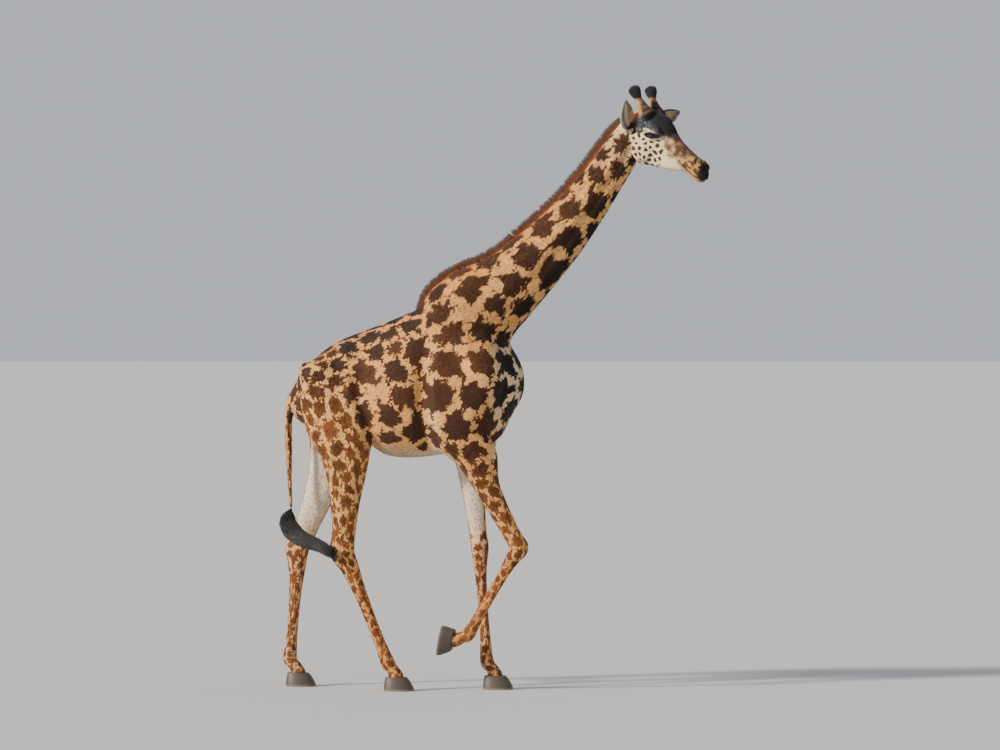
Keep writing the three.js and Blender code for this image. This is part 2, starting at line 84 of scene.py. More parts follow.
class Loft:
    """Stations along a curve. Rows are x, y, z, reach up or forwards, reach down or back, half
    width, and how much wider the section is low down than high up."""

    def __init__(self, rows, steps=8, square=2.2, facing=None, place=None):
        """Works out the stations, which stand across the curve or face one way."""
        rows = smooth(rows, steps)
        self.centre = rows[:, :3]
        self.top, self.low, self.side, self.pear = rows[:, 3:7].T
        self.square = square
        self.along = unit(np.gradient(self.centre, axis=0))
        if facing is not None:
            self.along = np.broadcast_to(np.array(facing, float), self.centre.shape)
        self.lateral = unit(np.array([0.0, 1.0, 0.0]) - self.along[:, 1:2] * self.along)
        self.upper = np.cross(self.along, self.lateral)
        if place is not None:
            turn, origin = place
            self.centre = self.centre @ turn.T + origin
            self.along, self.lateral, self.upper = (
                v @ turn.T for v in (self.along, self.lateral, self.upper)
            )
        self.centre = self.centre - MIDDLE
        steps_long = np.linalg.norm(np.diff(self.centre, axis=0), axis=1)
        self.length = np.concatenate([[0.0], np.cumsum(steps_long)])

    def surface(self, sides=40):
        """Superellipse sections: height and breadth are the cosine and sine to the power of
        2/square, times the reach up or down and the half width."""
        angle = np.arange(sides) / sides * 2 * np.pi
        height, breadth = np.cos(angle), np.sin(angle)
        height = np.sign(height) * abs(height) ** (2 / self.square)
        breadth = np.sign(breadth) * abs(breadth) ** (2 / self.square)
        rise = np.where(height > 0, self.top[:, None], self.low[:, None]) - COAT_DEPTH
        width = (self.side - COAT_DEPTH)[:, None] * (1 - self.pear[:, None] * height)
        return (
            self.centre[:, None]
            + self.upper[:, None] * (rise * height)[..., None]
            + self.lateral[:, None] * (width * breadth)[..., None]
        )

    def measure(self, points):
        """For each point, from the station that it is nearest to for that station's size: the
        distance over that size, the length run along the curve, and the part up and sideways."""
        size = np.stack([self.top, self.low, self.side]).mean(0)
        gaps = ((points[:, None] - self.centre[None]) ** 2).sum(-1) ** 0.5 / size
        k = gaps.argmin(1)
        away = points - self.centre[k]
        run = self.length[k] + (away * self.along[k]).sum(1)
        up = (away * self.upper[k]).sum(1)
        across = (away * self.lateral[k]).sum(1)
        return gaps.min(1), run, up, across, k


def upright_row(x, top, bottom, side, pear):
    """A section across the trunk or head, from the heights of its upper and lower edge."""
    middle = (top + bottom) / 2
    return [x, 0.0, middle, top - middle, middle - bottom, side, pear]


TRUNK = [
    upright_row(-0.752, 2.030, 1.900, 0.060, 0.0),
    upright_row(-0.715, 2.105, 1.830, 0.120, 0.05),
    upright_row(-0.640, 2.192, 1.780, 0.180, 0.1),
    upright_row(-0.540, 2.298, 1.740, 0.225, 0.1),
    upright_row(-0.400, 2.382, 1.715, 0.255, 0.12),
    upright_row(-0.250, 2.440, 1.690, 0.275, 0.14),
    upright_row(-0.090, 2.500, 1.590, 0.305, 0.16),
    upright_row(0.080, 2.570, 1.572, 0.325, 0.2),
    upright_row(0.260, 2.640, 1.590, 0.322, 0.22),
    upright_row(0.440, 2.600, 1.625, 0.300, 0.15),
    upright_row(0.600, 2.480, 1.680, 0.262, 0.05),
    upright_row(0.700, 2.410, 1.768, 0.220, 0.0),
    upright_row(0.775, 2.320, 1.880, 0.175, 0.0),
    upright_row(0.825, 2.230, 1.960, 0.125, 0.0),
    upright_row(0.850, 2.150, 2.030, 0.060, 0.0),
]
NECK = [
    [0.345, 0.0, 2.372, 0.285, 0.300, 0.236, 0.0],
    [0.430, 0.0, 2.476, 0.318, 0.318, 0.234, 0.0],
    [0.555, 0.0, 2.598, 0.300, 0.305, 0.218, 0.0],
    [0.769, 0.0, 2.765, 0.232, 0.244, 0.176, 0.05],
    [1.054, 0.0, 3.037, 0.192, 0.196, 0.138, 0.05],
    [1.254, -0.004, 3.270, 0.160, 0.164, 0.115, 0.05],
    [1.404, -0.014, 3.478, 0.136, 0.145, 0.099, 0.05],
    [1.532, -0.026, 3.667, 0.122, 0.136, 0.090, 0.0],
    [1.625, -0.038, 3.795, 0.112, 0.125, 0.082, 0.0],
]
HEAD = [
    upright_row(-0.070, 0.014, -0.200, 0.062, 0.0),
    upright_row(0.000, 0.050, -0.250, 0.084, 0.0),
    upright_row(0.070, 0.084, -0.272, 0.096, -0.05),
    upright_row(0.150, 0.112, -0.272, 0.097, -0.1),
    upright_row(0.225, 0.103, -0.246, 0.090, -0.1),
    upright_row(0.305, 0.072, -0.213, 0.075, -0.05),
    upright_row(0.380, 0.052, -0.178, 0.064, 0.0),
    upright_row(0.450, 0.042, -0.142, 0.058, 0.0),
    upright_row(0.515, 0.035, -0.112, 0.056, 0.0),
    upright_row(0.575, 0.028, -0.112, 0.058, 0.0),
    upright_row(0.628, 0.014, -0.116, 0.055, 0.0),
    upright_row(0.664, -0.008, -0.106, 0.045, 0.0),
    upright_row(0.686, -0.034, -0.086, 0.026, 0.0),
]

# The head's own frame starts at the poll, between the ears: forwards, left and up.
HEAD_PLACE = np.array([1.664, -0.040, 3.890])
HEAD_TURN, HEAD_DIP = np.radians([-28.0, 34.0])
HEAD_AXES = np.array(Matrix.Rotation(HEAD_TURN, 3, "Z") @ Matrix.Rotation(HEAD_DIP, 3, "Y"))
HEAD_FRAME = (HEAD_AXES, HEAD_PLACE)


def in_head(points):
    """Points of the frame, seen in the head's own frame."""
    return (points + MIDDLE - HEAD_PLACE) @ HEAD_AXES


def from_head(points):
    """Points of the head's frame, back in the frame."""
    return np.asarray(points, float) @ HEAD_AXES.T + HEAD_PLACE - MIDDLE


# Joints of the legs from the blade or hip down, and how far a lifted foot is folded back.
LEGS = {
    "foreleg_right": (
        [(0.430, -0.150, 2.470), (0.600, -0.165, 2.140), (0.432, -0.178, 1.760)],
        [(0.848, -0.150, 0.975), (0.497, -0.125, 0.382)],
        np.radians(100.0),
    ),
    "foreleg_left": (
        [(0.410, 0.150, 2.470), (0.590, 0.165, 2.140), (0.440, 0.170, 1.740)],
        [(0.528, 0.112, 0.970), (0.590, 0.076, 0.190)],
        0.0,
    ),
    "hindleg_right": (
        [(-0.488, -0.112, 2.250), (-0.505, -0.165, 2.100), (-0.330, -0.200, 1.640)],
        [(-0.352, -0.178, 0.945), (-0.046, -0.184, 0.190)],
        0.0,
    ),
    "hindleg_left": (
        [(-0.500, 0.110, 2.250), (-0.520, 0.160, 2.080), (-0.470, 0.190, 1.640)],
        [(-0.735, 0.160, 0.950), (-0.792, 0.132, 0.190)],
        0.0,
    ),
}
# Bone, share of its length, reach forwards, reach back, half width.
FORELEG = [
    (0, 0.00, 0.090, 0.090, 0.042),
    (0, 0.45, 0.165, 0.170, 0.092),
    (0, 1.00, 0.168, 0.205, 0.118),
    (1, 0.50, 0.150, 0.178, 0.120),
    (1, 1.00, 0.110, 0.150, 0.108),
    (2, 0.20, 0.104, 0.116, 0.088),
    (2, 0.45, 0.086, 0.090, 0.070),
    (2, 0.75, 0.066, 0.068, 0.056),
    (2, 0.92, 0.062, 0.062, 0.056),
    (2, 1.00, 0.068, 0.060, 0.062),
    (3, 0.10, 0.056, 0.056, 0.056),
    (3, 0.25, 0.040, 0.046, 0.042),
    (3, 0.55, 0.034, 0.040, 0.036),
    (3, 0.85, 0.038, 0.044, 0.042),
    (3, 1.00, 0.048, 0.054, 0.050),
]
HINDLEG = [
    (0, 0.00, 0.090, 0.090, 0.050),
    (0, 0.50, 0.170, 0.150, 0.100),
    (0, 1.00, 0.208, 0.188, 0.124),
    (1, 0.50, 0.232, 0.215, 0.132),
    (1, 0.90, 0.190, 0.200, 0.118),
    (2, 0.25, 0.142, 0.142, 0.092),
    (2, 0.50, 0.106, 0.110, 0.072),
    (2, 0.80, 0.080, 0.088, 0.057),
    (2, 1.00, 0.072, 0.104, 0.058),
    (3, 0.14, 0.062, 0.074, 0.052),
    (3, 0.35, 0.046, 0.052, 0.043),
    (3, 0.62, 0.038, 0.044, 0.039),
    (3, 0.87, 0.041, 0.046, 0.043),
    (3, 1.00, 0.050, 0.056, 0.051),
]
CORONET = 0.092  # height of the hoof's upper edge
FETLOCK = 0.190
PASTERN = [  # from the fetlock: forwards, up, then reach forwards and back, and half width
    (0.026, -0.038, 0.042, 0.046, 0.046),
    (0.050, -0.076, 0.050, 0.054, 0.056),
    (0.060, CORONET - FETLOCK - 0.008, 0.055, 0.058, 0.062),
]


def foot_axes(swing):
    """The turn of a lifted foot about the fetlock."""
    return np.array(Matrix.Rotation(swing, 3, "Y"))


def leg_rows(name):
    """Sections from the blade or hip down to the coronet."""
    upper, lower, swing = LEGS[name]
    joints = np.array(upper + lower)
    rows = []
    for bone, share, front, back, side in FORELEG if name.startswith("fore") else HINDLEG:
        place = joints[bone] + (joints[bone + 1] - joints[bone]) * share
        rows.append([*place, front, back, side, 0.0])
    for forward, up, front, back, side in PASTERN:
        place = foot_axes(swing) @ (forward, 0.0, up) + joints[-1]
        rows.append([*place, front, back, side, 0.0])
    return rows


TAIL_ROOT = np.array([-0.728, 0.0, 2.010])
TAIL = [  # from its root
    (0.070, 0.000, 0.060, 0.052, 0.052, 0.046, 0.0),
    (-0.010, 0.000, -0.008, 0.046, 0.046, 0.042, 0.0),
    (-0.044, -0.002, -0.110, 0.033, 0.033, 0.032, 0.0),
    (-0.046, -0.005, -0.300, 0.029, 0.029, 0.028, 0.0),
    (-0.040, -0.010, -0.540, 0.022, 0.022, 0.022, 0.0),
    (-0.026, -0.016, -0.785, 0.015, 0.015, 0.015, 0.0),
]
tail_rows = [[*(TAIL_ROOT + row[:3]), *row[3:]] for row in TAIL]

PARTS = {
    "trunk": Loft(TRUNK, facing=(1.0, 0.0, 0.0)),
    "neck": Loft(NECK, square=2.1),
    "head": Loft(HEAD, square=2.4, place=HEAD_FRAME),
    "tail": Loft(tail_rows, square=2.0),
    **{name: Loft(leg_rows(name), steps=6) for name in LEGS},
}


def ellipsoid(centre, radii, turn=0.0, steps=24):
    """A ball scaled along the head's axes and turned about its upward one: rings of latitude."""
    across, round_ = np.meshgrid(
        np.linspace(0.02, np.pi - 0.02, steps), np.arange(steps) / steps * 2 * np.pi, indexing="ij"
    )
    ball = np.stack(
        [np.sin(across) * np.cos(round_), np.sin(across) * np.sin(round_), np.cos(across)], -1
    )
    turned = (ball * radii) @ np.array(Matrix.Rotation(turn, 3, "Z")).T
    return from_head(turned + np.array(centre))


EAR_LENGTH, EAR_WIDTH, EAR_THICKNESS, EAR_BOW = 0.230, 0.121, 0.011, 0.026
EARS = {  # root, the way it points and the way it opens, in the head's frame
    "right": ((0.003, -0.082, -0.128), (-0.32, -0.32, 0.89), (0.98, 0.10, 0.0)),
    "left": ((0.026, 0.084, -0.042), (0.41, 0.57, 0.71), (0.70, -0.50, 0.10)),
}


def ear_frame(side):
    """Root, and unit vectors along the ear, out of its mouth and across it."""
    root, tip, mouth = (np.array(v) for v in EARS[side])
    along = unit(tip)
    opening = unit(mouth - along * (mouth @ along))
    return root, along, opening, np.cross(along, opening)


def ear_section(side, share, turn, depth):
    """A leaf rolled into a scoop. `share` runs from root to tip, `turn` from -1 to 1 round the
    roll, whose half angle falls towards the tip, and `depth` is 0 outside and 1 inside."""
    root, along, opening, across = ear_frame(side)
    half = EAR_WIDTH / 2 * (0.42 + 1.5 * share**0.7 * (1 - share) ** 0.62 * (1 - 0.1 * share))
    half = half * (1 - 0.75 * share**6)
    roll = 2.05 - 1.1 * share
    radius = half / np.sin(np.minimum(roll, np.pi / 2))
    reach = radius - depth * np.minimum(EAR_THICKNESS, radius * 0.7)
    spine = root + along * (EAR_LENGTH * share)[..., None]
    spine = spine - opening * (EAR_BOW * np.sin(np.pi * share))[..., None]
    angle = roll * turn
    return from_head(
        spine
        + across * (reach * np.sin(angle))[..., None]
        + opening * (radius - reach * np.cos(angle))[..., None]
    )


def ear_surface(side, levels=28, arc=18):
    """Out along the outside of the scoop and back along its inside, at each level."""
    share = np.linspace(0.0, 1.0, levels)[:, None] * np.ones(2 * arc)
    turn = np.concatenate([np.linspace(-1, 1, arc), np.linspace(1, -1, arc)])
    depth = np.repeat([0.0, 1.0], arc)
    return ear_section(side, share, turn[None] * np.ones((levels, 1)), depth[None])


def grid_mesh(grids, name):
    """One mesh of closed tubes: walls between the rings of each grid, and a face at each end."""
    points, faces, base = [], [], 0
    for grid in grids:
        rings, sides = grid.shape[:2]
        index = base + np.arange(rings * sides).reshape(rings, sides)
        beside = np.roll(index, -1, axis=1)
        walls = np.stack([index[:-1], beside[:-1], beside[1:], index[1:]], -1).reshape(-1, 4)
        faces += walls.tolist() + [index[0][::-1].tolist(), index[-1].tolist()]
        points.append(grid.reshape(-1, 3))
        base += rings * sides
    mesh = bpy.data.meshes.new(name)
    mesh.from_pydata(np.vstack(points).tolist(), [], faces)
    return mesh


def ossicone_frame(side):
    """Root, the way it leans and two unit vectors across it, in the head's frame."""
    lean = unit(np.array([-0.84, 0.19 * side, 0.51]))
    ahead = unit(np.cross(np.array([0.0, 1.0, 0.0]), lean))
    return np.array([0.050, 0.062 * side, 0.066]), lean, ahead, np.cross(lean, ahead)


STUMP = [  # share of the stem's length, radius
    (-0.42, 0.036), (-0.2, 0.060), (0.0, 0.049), (0.16, 0.0365), (0.30, 0.0295), (0.44, 0.0245), (0.54, 0.019)
]
STEM_LENGTH = 0.178


def stump_surface(side, around=32):
    """The foot of an ossicone, which flares into the skull: circles along its lean."""
    root, lean, ahead, beside = ossicone_frame(side)
    share, radius = smooth(STUMP, 4).T
    angle = np.arange(around) / around * 2 * np.pi
    ring = ahead * np.cos(angle)[:, None] + beside * np.sin(angle)[:, None]
    return from_head(root + lean * (STEM_LENGTH * share[:, None, None]) + ring * radius[:, None, None])


shells = [PARTS[name].surface(sides=56) for name in ("trunk", "neck")]
shells += [PARTS[name].surface(sides=40) for name in ("head", "tail", *LEGS)]
shells += [ear_surface(side) for side in EARS]
for side in (-1, 1):
    shells.append(ellipsoid((0.180, side * 0.066, -0.004), (0.090, 0.038, 0.056), side * 0.24))
    shells.append(ellipsoid((0.150, side * 0.040, -0.150), (0.120, 0.052, 0.090), side * 0.16))
    shells.append(ellipsoid((0.592, side * 0.030, -0.006), (0.060, 0.028, 0.030), side * 0.2))
    shells.append(stump_surface(side))
shells.append(ellipsoid((0.185, 0.0, 0.078), (0.070, 0.034, 0.036)))

VOXEL = 0.0045
SKIN_TRIANGLES = 190000


def finished(mesh, name, *modifiers):
    """A mesh with modifiers applied: pairs of a kind and its settings."""
    piece = bpy.data.objects.new(name, mesh)
    bpy.context.scene.collection.objects.link(piece)
    for kind, settings in modifiers:
        modifier = piece.modifiers.new(kind, kind)
        for key, value in settings.items():
            setattr(modifier, key, value)
    graph = bpy.context.evaluated_depsgraph_get()
    result = bpy.data.meshes.new_from_object(piece.evaluated_get(graph))
    bpy.data.objects.remove(piece)
    return result


def numbers(items, key, width, kind=np.float32):
    """A property of every item, as an array with a row for each."""
    flat = np.empty(len(items) * width, kind)
    items.foreach_get(key, flat)
    return flat.reshape(-1, width) if width > 1 else flat


def relaxed(points, edges, passes, share=0.5):
    """Each point moves part of the way to the mean of its neighbours, several times."""
    first, second = edges.T
    count = np.bincount(first, minlength=len(points)) + np.bincount(second, minlength=len(points))
    for _ in range(passes):
        total = np.stack(
            [
                np.bincount(first, points[second, k], len(points))
                + np.bincount(second, points[first, k], len(points))
                for k in range(3)
            ],
            1,
        )
        points = points + np.reshape(share, (-1, 1)) * (total / count[:, None] - points)
    return points


remeshed = ("REMESH", {"mode": "VOXEL", "voxel_size": VOXEL})
rough = finished(grid_mesh(shells, "shells"), "shells", remeshed)
points = numbers(rough.vertices, "co", 3).astype(float)
edges = numbers(rough.edges, "vertices", 2, np.int32)

HEAD_REACH = 1.25  # how near a point is to the head's stations, over their size, to be finely cut


class Follow:
    """What the skin's points are near: the weight of each part, and the run, the part up and the
    part across along it. Weights fall off with the distance over the size of the station."""

    def __init__(self, points):
        """Measures the points against every part, some at a time."""
        self.near, self.run, self.up, self.across, self.station = {}, {}, {}, {}, {}
        for name, part in PARTS.items():
            found = [part.measure(block) for block in np.array_split(points, 12)]
            arrays = [np.concatenate(column) for column in zip(*found)]
            self.near[name], self.run[name], self.up[name], self.across[name], self.station[name] = arrays
        names = list(PARTS)
        near = np.stack([self.near[name] for name in names], 1)
        self.second = np.sort(near, 1)[:, 1]
        self.owner = near.argmin(1)
        weight = np.exp(-(near - near.min(1, keepdims=True)) * 14.0)
        weight /= weight.sum(1, keepdims=True)
        self.weight = dict(zip(names, weight.T))


def ramp(values, low, high):
    """0 below `low`, 1 above `high`, and a smooth step between."""
    share = np.clip((values - low) / (high - low), 0.0, 1.0)
    return share * share * (3 - 2 * share)


def bell(values, middle, width):
    """1 at the middle, falling off both ways: e to the minus squared distance over the width."""
    return np.exp(-(((values - middle) / width) ** 2))


def blob(points, centre, radii):
    """A bell of height 1 at the centre: e to the minus squared distance over the radii."""
    return np.exp(-(((points - np.array(centre)) / np.array(radii)) ** 2).sum(-1))


def ridge(points, path, radius):
    """A bell across a line through the path's points, full all along it."""
    line = smooth([list(p) for p in path], 12)
    nearest = np.min([((points - p) ** 2).sum(-1) for p in line], axis=0)
    return np.exp(-nearest / radius**2)


def swelling(points, path, reach):
    """A ridge along the path, or a blob where the path is a single point."""
    return ridge(points, path, reach) if len(path) > 1 else blob(points, path[0], reach)


def normals_of(mesh):
    """The way the surface faces at each point."""
    return numbers(mesh.vertices, "normal", 3).astype(float)


def move(mesh, points):
    """Puts the mesh's points there."""
    mesh.vertices.foreach_set("co", points.astype(np.float32).ravel())
    mesh.update()


def shade_smooth(mesh):
    """No edge of the mesh shows."""
    mesh.polygons.foreach_set("use_smooth", np.ones(len(mesh.polygons), bool))


# The head's features, cut while the skin is still fine: lips, nostrils, eye sockets, brows.
EYE_PLACE = np.array([0.200, 0.090, -0.028])
EYE_RADIUS = 0.026
EYE_SLANT = np.radians(26.0)  # the lids rise to the front
LID_HALF = 0.036  # from the middle of the opening to a corner
NOSTRIL = np.array([0.588, 0.036, 0.010])
NOSTRIL_SLANT = np.radians(38.0)
MOUTH = np.array([(0.492, -0.066), (0.560, -0.074), (0.630, -0.076), (0.690, -0.072)])
# Height, reach, and the points of a ridge or the middle of a blob, on the head's left half: brow,
# under the eye, cheekbone, hollow of the cheek, side of the nose, jaw, temple and upper lip.
FACE_RELIEF = [
    (0.012, 0.020, (0.118, 0.092, -0.010), (0.175, 0.106, 0.022), (0.262, 0.088, 0.010)),
    (-0.006, 0.013, (0.140, 0.10, -0.078), (0.215, 0.10, -0.075), (0.285, 0.085, -0.040)),
    (0.010, 0.022, (0.100, 0.088, -0.118), (0.230, 0.09, -0.1), (0.330, 0.072, -0.078), (0.42, 0.06, -0.05)),
    (-0.009, (0.070, 0.05, 0.045), (0.285, 0.080, -0.145)),
    (-0.008, (0.080, 0.03, 0.035), (0.400, 0.060, 0.010)),
    (0.007, 0.030, (0.150, 0.07, -0.245), (0.060, 0.085, -0.235), (0.000, 0.085, -0.150)),
    (-0.011, (0.045, 0.04, 0.050), (0.085, 0.098, -0.040)),
    (0.006, (0.050, 0.03, 0.030), (0.610, 0.052, -0.045)),
]


def mouth_height(forward):
    """Height of the line between the lips, that far ahead of the poll."""
    return np.interp(forward, *MOUTH.T)


def eye_axes(side):
    """The eye's own axes: along the lids, out of the head and up."""
    along = unit(np.array([np.cos(EYE_SLANT), -0.20 * side, np.sin(EYE_SLANT)]))
    out = np.array([0.16, side * 1.0, 0.10])
    out = unit(out - along * (out @ along))
    return np.stack([along, out, np.cross(out, along) * -side], 1)


def lid_height(along):
    """Half the opening between the lids: a parabola that closes at both corners."""
    return 0.0145 * np.clip(1 - (along / LID_HALF) ** 2, 0.05, 1.0) + 0.001


def in_nostril(points):
    """Points of the head's left half, seen along, across and up from the nostril's slit."""
    return (points - NOSTRIL) @ np.array(Matrix.Rotation(NOSTRIL_SLANT, 3, "Y"))


def sculpted_head(points, normals):
    """Pushes the skin along its normals by bells and ridges at the head's features, then draws it
    back from the eyeball inside the almond between the lids."""
    spot = in_head(points)
    mirrored = spot.copy()
    mirrored[:, 1] = abs(mirrored[:, 1])
    side = np.where(spot[:, 1] < 0, -1.0, 1.0)
    push = np.zeros(len(points))
    lid_axes = eye_axes(1)
    eye = (mirrored - EYE_PLACE) @ lid_axes
    lids = np.exp(-((eye[:, 0] / 0.050) ** 2 + (eye[:, 2] / 0.036) ** 2 + (eye[:, 1] / 0.07) ** 2))
    push += 0.012 * lids
    for height, reach, *path in FACE_RELIEF:
        push += height * swelling(mirrored, path, reach)
    over = mirrored[:, 2] - mouth_height(mirrored[:, 0])
    muzzle = ramp(mirrored[:, 0], 0.485, 0.515)
    push -= 0.008 * muzzle * bell(over, 0.0, 0.006)
    lips = bell(over, 0.013, 0.008) + bell(over, -0.014, 0.009)
    push += 0.003 * muzzle * lips
    slit = in_nostril(mirrored)
    hole = np.exp(-((slit[:, 0] / 0.019) ** 2 + (slit[:, 2] / 0.006) ** 2 + (slit[:, 1] / 0.018) ** 2))
    rim = np.exp(-((slit[:, 0] / 0.030) ** 2 + (slit[:, 2] / 0.018) ** 2 + (slit[:, 1] / 0.022) ** 2))
    push += 0.008 * rim - 0.024 * hole
    moved = points + normals * push[:, None]

    local = in_head(moved)
    local[:, 1] *= side
    eye = (local - EYE_PLACE) @ lid_axes
    almond = (eye[:, 0] / 0.034) ** 2 + (eye[:, 2] / lid_height(eye[:, 0])) ** 2
    inside = (almond < 1.0) & (eye[:, 1] > -0.02)
    sunk = np.where(inside, np.minimum(eye[:, 1], 0.004), eye[:, 1])
    to_side = np.stack([np.ones(len(side)), side, np.ones(len(side))], 1)
    shift = (sunk - eye[:, 1])[:, None] * lid_axes[:, 1] * to_side
    return moved + shift @ HEAD_AXES.T


points = relaxed(points, edges, 3)
move(rough, points)
head_near = PARTS["head"].measure(points)[0]
normals = normals_of(rough)
in_reach = head_near < HEAD_REACH
points[in_reach] = sculpted_head(points[in_reach], normals[in_reach])
move(rough, points)


def gap_to_ears(points):
    """How far each point is from the root of the nearer ear."""
    return np.min([((points - from_head(EARS[s][0])) ** 2).sum(1) ** 0.5 for s in EARS], axis=0)


# The fine wrapping is thinned where it is plain, and kept fine on the head.
keeper = bpy.data.objects.new("keeper", rough)
bpy.context.scene.collection.objects.link(keeper)
group = keeper.vertex_groups.new(name="plain")
fine = (head_near < HEAD_REACH) | (gap_to_ears(points) < EAR_LENGTH * 1.2)
group.add(np.flatnonzero(~fine).tolist(), 1.0, "REPLACE")
group.add(np.flatnonzero(fine).tolist(), 0.12, "REPLACE")
thin = keeper.modifiers.new("thin", "DECIMATE")
thin.ratio = min(1.0, SKIN_TRIANGLES / (2 * len(rough.polygons)))
thin.vertex_group = "plain"
thin.vertex_group_factor = 1.0
graph = bpy.context.evaluated_depsgraph_get()
skin_mesh = bpy.data.meshes.new_from_object(keeper.evaluated_get(graph))
skin_mesh.name = "skin"
bpy.data.objects.remove(keeper)
bpy.data.meshes.remove(rough)
points = numbers(skin_mesh.vertices, "co", 3).astype(float)
edges = numbers(skin_mesh.edges, "vertices", 2, np.int32)

# Where two parts meet, their crease is drawn smooth.
follow = Follow(points)
on_head = follow.weight["head"]
crease = bell(follow.second, 1.0, 0.16) * (1 - ramp(follow.near["head"], 1.3, 1.1))
crease *= ramp(gap_to_ears(points), 0.16, 0.26)
throat = blob(in_head(points), (0.02, 0.0, -0.23), (0.09, 0.12, 0.09))
off_head = ramp(follow.near["head"], 0.4, 1.2)
share = np.clip(0.06 + 0.6 * np.maximum(crease, throat), 0, 0.6) * off_head + 0.5 * throat * (1 - off_head)
points = relaxed(points, edges, 45, share)
move(skin_mesh, points)

# Muscles and bones that show through the skin, each side from its own leg's joints.
follow = Follow(points)
normals = normals_of(skin_mesh)
push = np.zeros(len(points))
place = points + MIDDLE
x, y, z = place.T


def between(start, end, share):
    """The place that share of the way from one joint to the next."""
    return np.array(start) + (np.array(end) - np.array(start)) * share


def off(joint, forward, outward, up):
    """A place beside the joint, outwards on the side of the leg in hand."""
    return joint + (forward, side * outward, up)


for name, (upper, lower, _) in LEGS.items():
    side = 1.0 if name.endswith("left") else -1.0
    outer = ramp(y * side, 0.02, 0.10)
    blade, shoulder, elbow = (np.array(p) for p in upper)
    knee, fetlock = (np.array(p) for p in lower)

    if name.startswith("fore"):
        middle = between(blade, shoulder, 0.5)
        # The blade's spine and its hollow, the point of the shoulder, the upper arm, the point of
        # the elbow, the hollow behind the arm, the forearm and the groove before the shoulder.
        muscles = [  # height, reach and places
            (0.018, 0.045, [off(blade, 0, 0.10, 0), off(middle, 0, 0.10, 0), off(shoulder, 0, 0.13, 0)]),
            (-0.016, (0.09, 0.12, 0.16), [off(between(blade, elbow, 0.35), 0, 0.10, 0)]),
            (0.018, (0.09, 0.10, 0.11), [off(shoulder, 0.10, 0.07, -0.02)]),
            (0.024, (0.10, 0.10, 0.15), [off(between(shoulder, elbow, 0.55), -0.07, 0.10, 0.03)]),
            (0.016, (0.05, 0.08, 0.07), [off(elbow, -0.11, 0.05, 0.03)]),
            (-0.034, 0.05, [
                off(elbow, -0.20, 0.16, 0.30),
                off(elbow, -0.17, 0.14, 0.10),
                off(elbow, -0.15, 0.08, -0.06),
            ]),
            (0.010, (0.10, 0.08, 0.14), [off(between(elbow, knee, 0.22), 0.03, 0.05, 0.0)]),
            (-0.008, 0.04, [
                off(shoulder, 0.13, 0.05, 0.20),
                off(shoulder, 0.17, 0.04, 0.02),
                off(shoulder, 0.12, 0.05, -0.25),
            ]),
        ]
    else:
        hip = np.array([-0.330, side * 0.215, 2.275])
        # The point of the hip, the hollow before it, the thigh, the groove that parts it, its back
        # half and the hollow under the hip.
        muscles = [
            (0.016, (0.07, 0.08, 0.06), [hip]),
            (-0.018, (0.10, 0.10, 0.13), [off(hip, 0.13, 0.03, -0.08)]),
            (0.010, (0.11, 0.10, 0.16), [off(elbow, 0.10, 0.08, 0.10)]),
            (-0.010, 0.04, [
                off(shoulder, 0.13, 0.12, -0.05),
                off(elbow, 0.02, 0.13, 0.12),
                off(elbow, -0.02, 0.11, -0.12),
            ]),
            (0.009, (0.10, 0.10, 0.20), [off(shoulder, -0.10, 0.11, -0.12)]),
            (-0.012, (0.08, 0.09, 0.09), [off(hip, 0.02, 0.02, -0.17)]),
        ]
    for height, reach, path in muscles:
        push += outer * height * swelling(place, path, reach)
    # The cord above the hock, the bones of the knee or hock, and the tendons behind the shin.
    if name.startswith("hind"):
        top, foot = between(elbow, knee, 0.62), between(elbow, knee, 0.92)
        cord = [off(top, -0.045, 0.035, 0.0), off(foot, -0.055, 0.035, 0.0)]
        push -= 0.010 * ridge(place, cord, 0.022)
    shin = fetlock - knee
    push += 0.005 * blob(place, off(knee, 0.04, 0.03, 0.035), (0.04, 0.05, 0.03))
    push += 0.004 * blob(place, off(knee, 0.04, 0.03, -0.035), (0.04, 0.05, 0.025))
    for s in (-1, 1):
        line = [knee + shin * t + (-0.012, s * 0.038, 0.0) for t in (0.2, 0.5, 0.8)]
        push -= 0.005 * ridge(place, line, 0.014)
        push += 0.004 * blob(place, fetlock + (-0.02, s * 0.045, 0.0), (0.03, 0.03, 0.03))

# The shoulder and upper arm stand out of the chest as one plate, with a hollow behind them.
outside = ramp(abs(y), 0.12, 0.20)
upright = ramp(z, 1.52, 1.74) * ramp(z, 2.52, 2.16)
back_edge = 0.245 + 0.10 * (z - 1.9) ** 2
plate = ramp(x, back_edge - 0.012, back_edge + 0.05) * ramp(x, 0.80, 0.60)
push += 0.046 * plate * upright * outside
for depth, middle, width in ((0.036, -0.045, 0.045), (0.016, -0.10, 0.11)):
    push -= depth * bell(x - back_edge, middle, width) * upright * outside

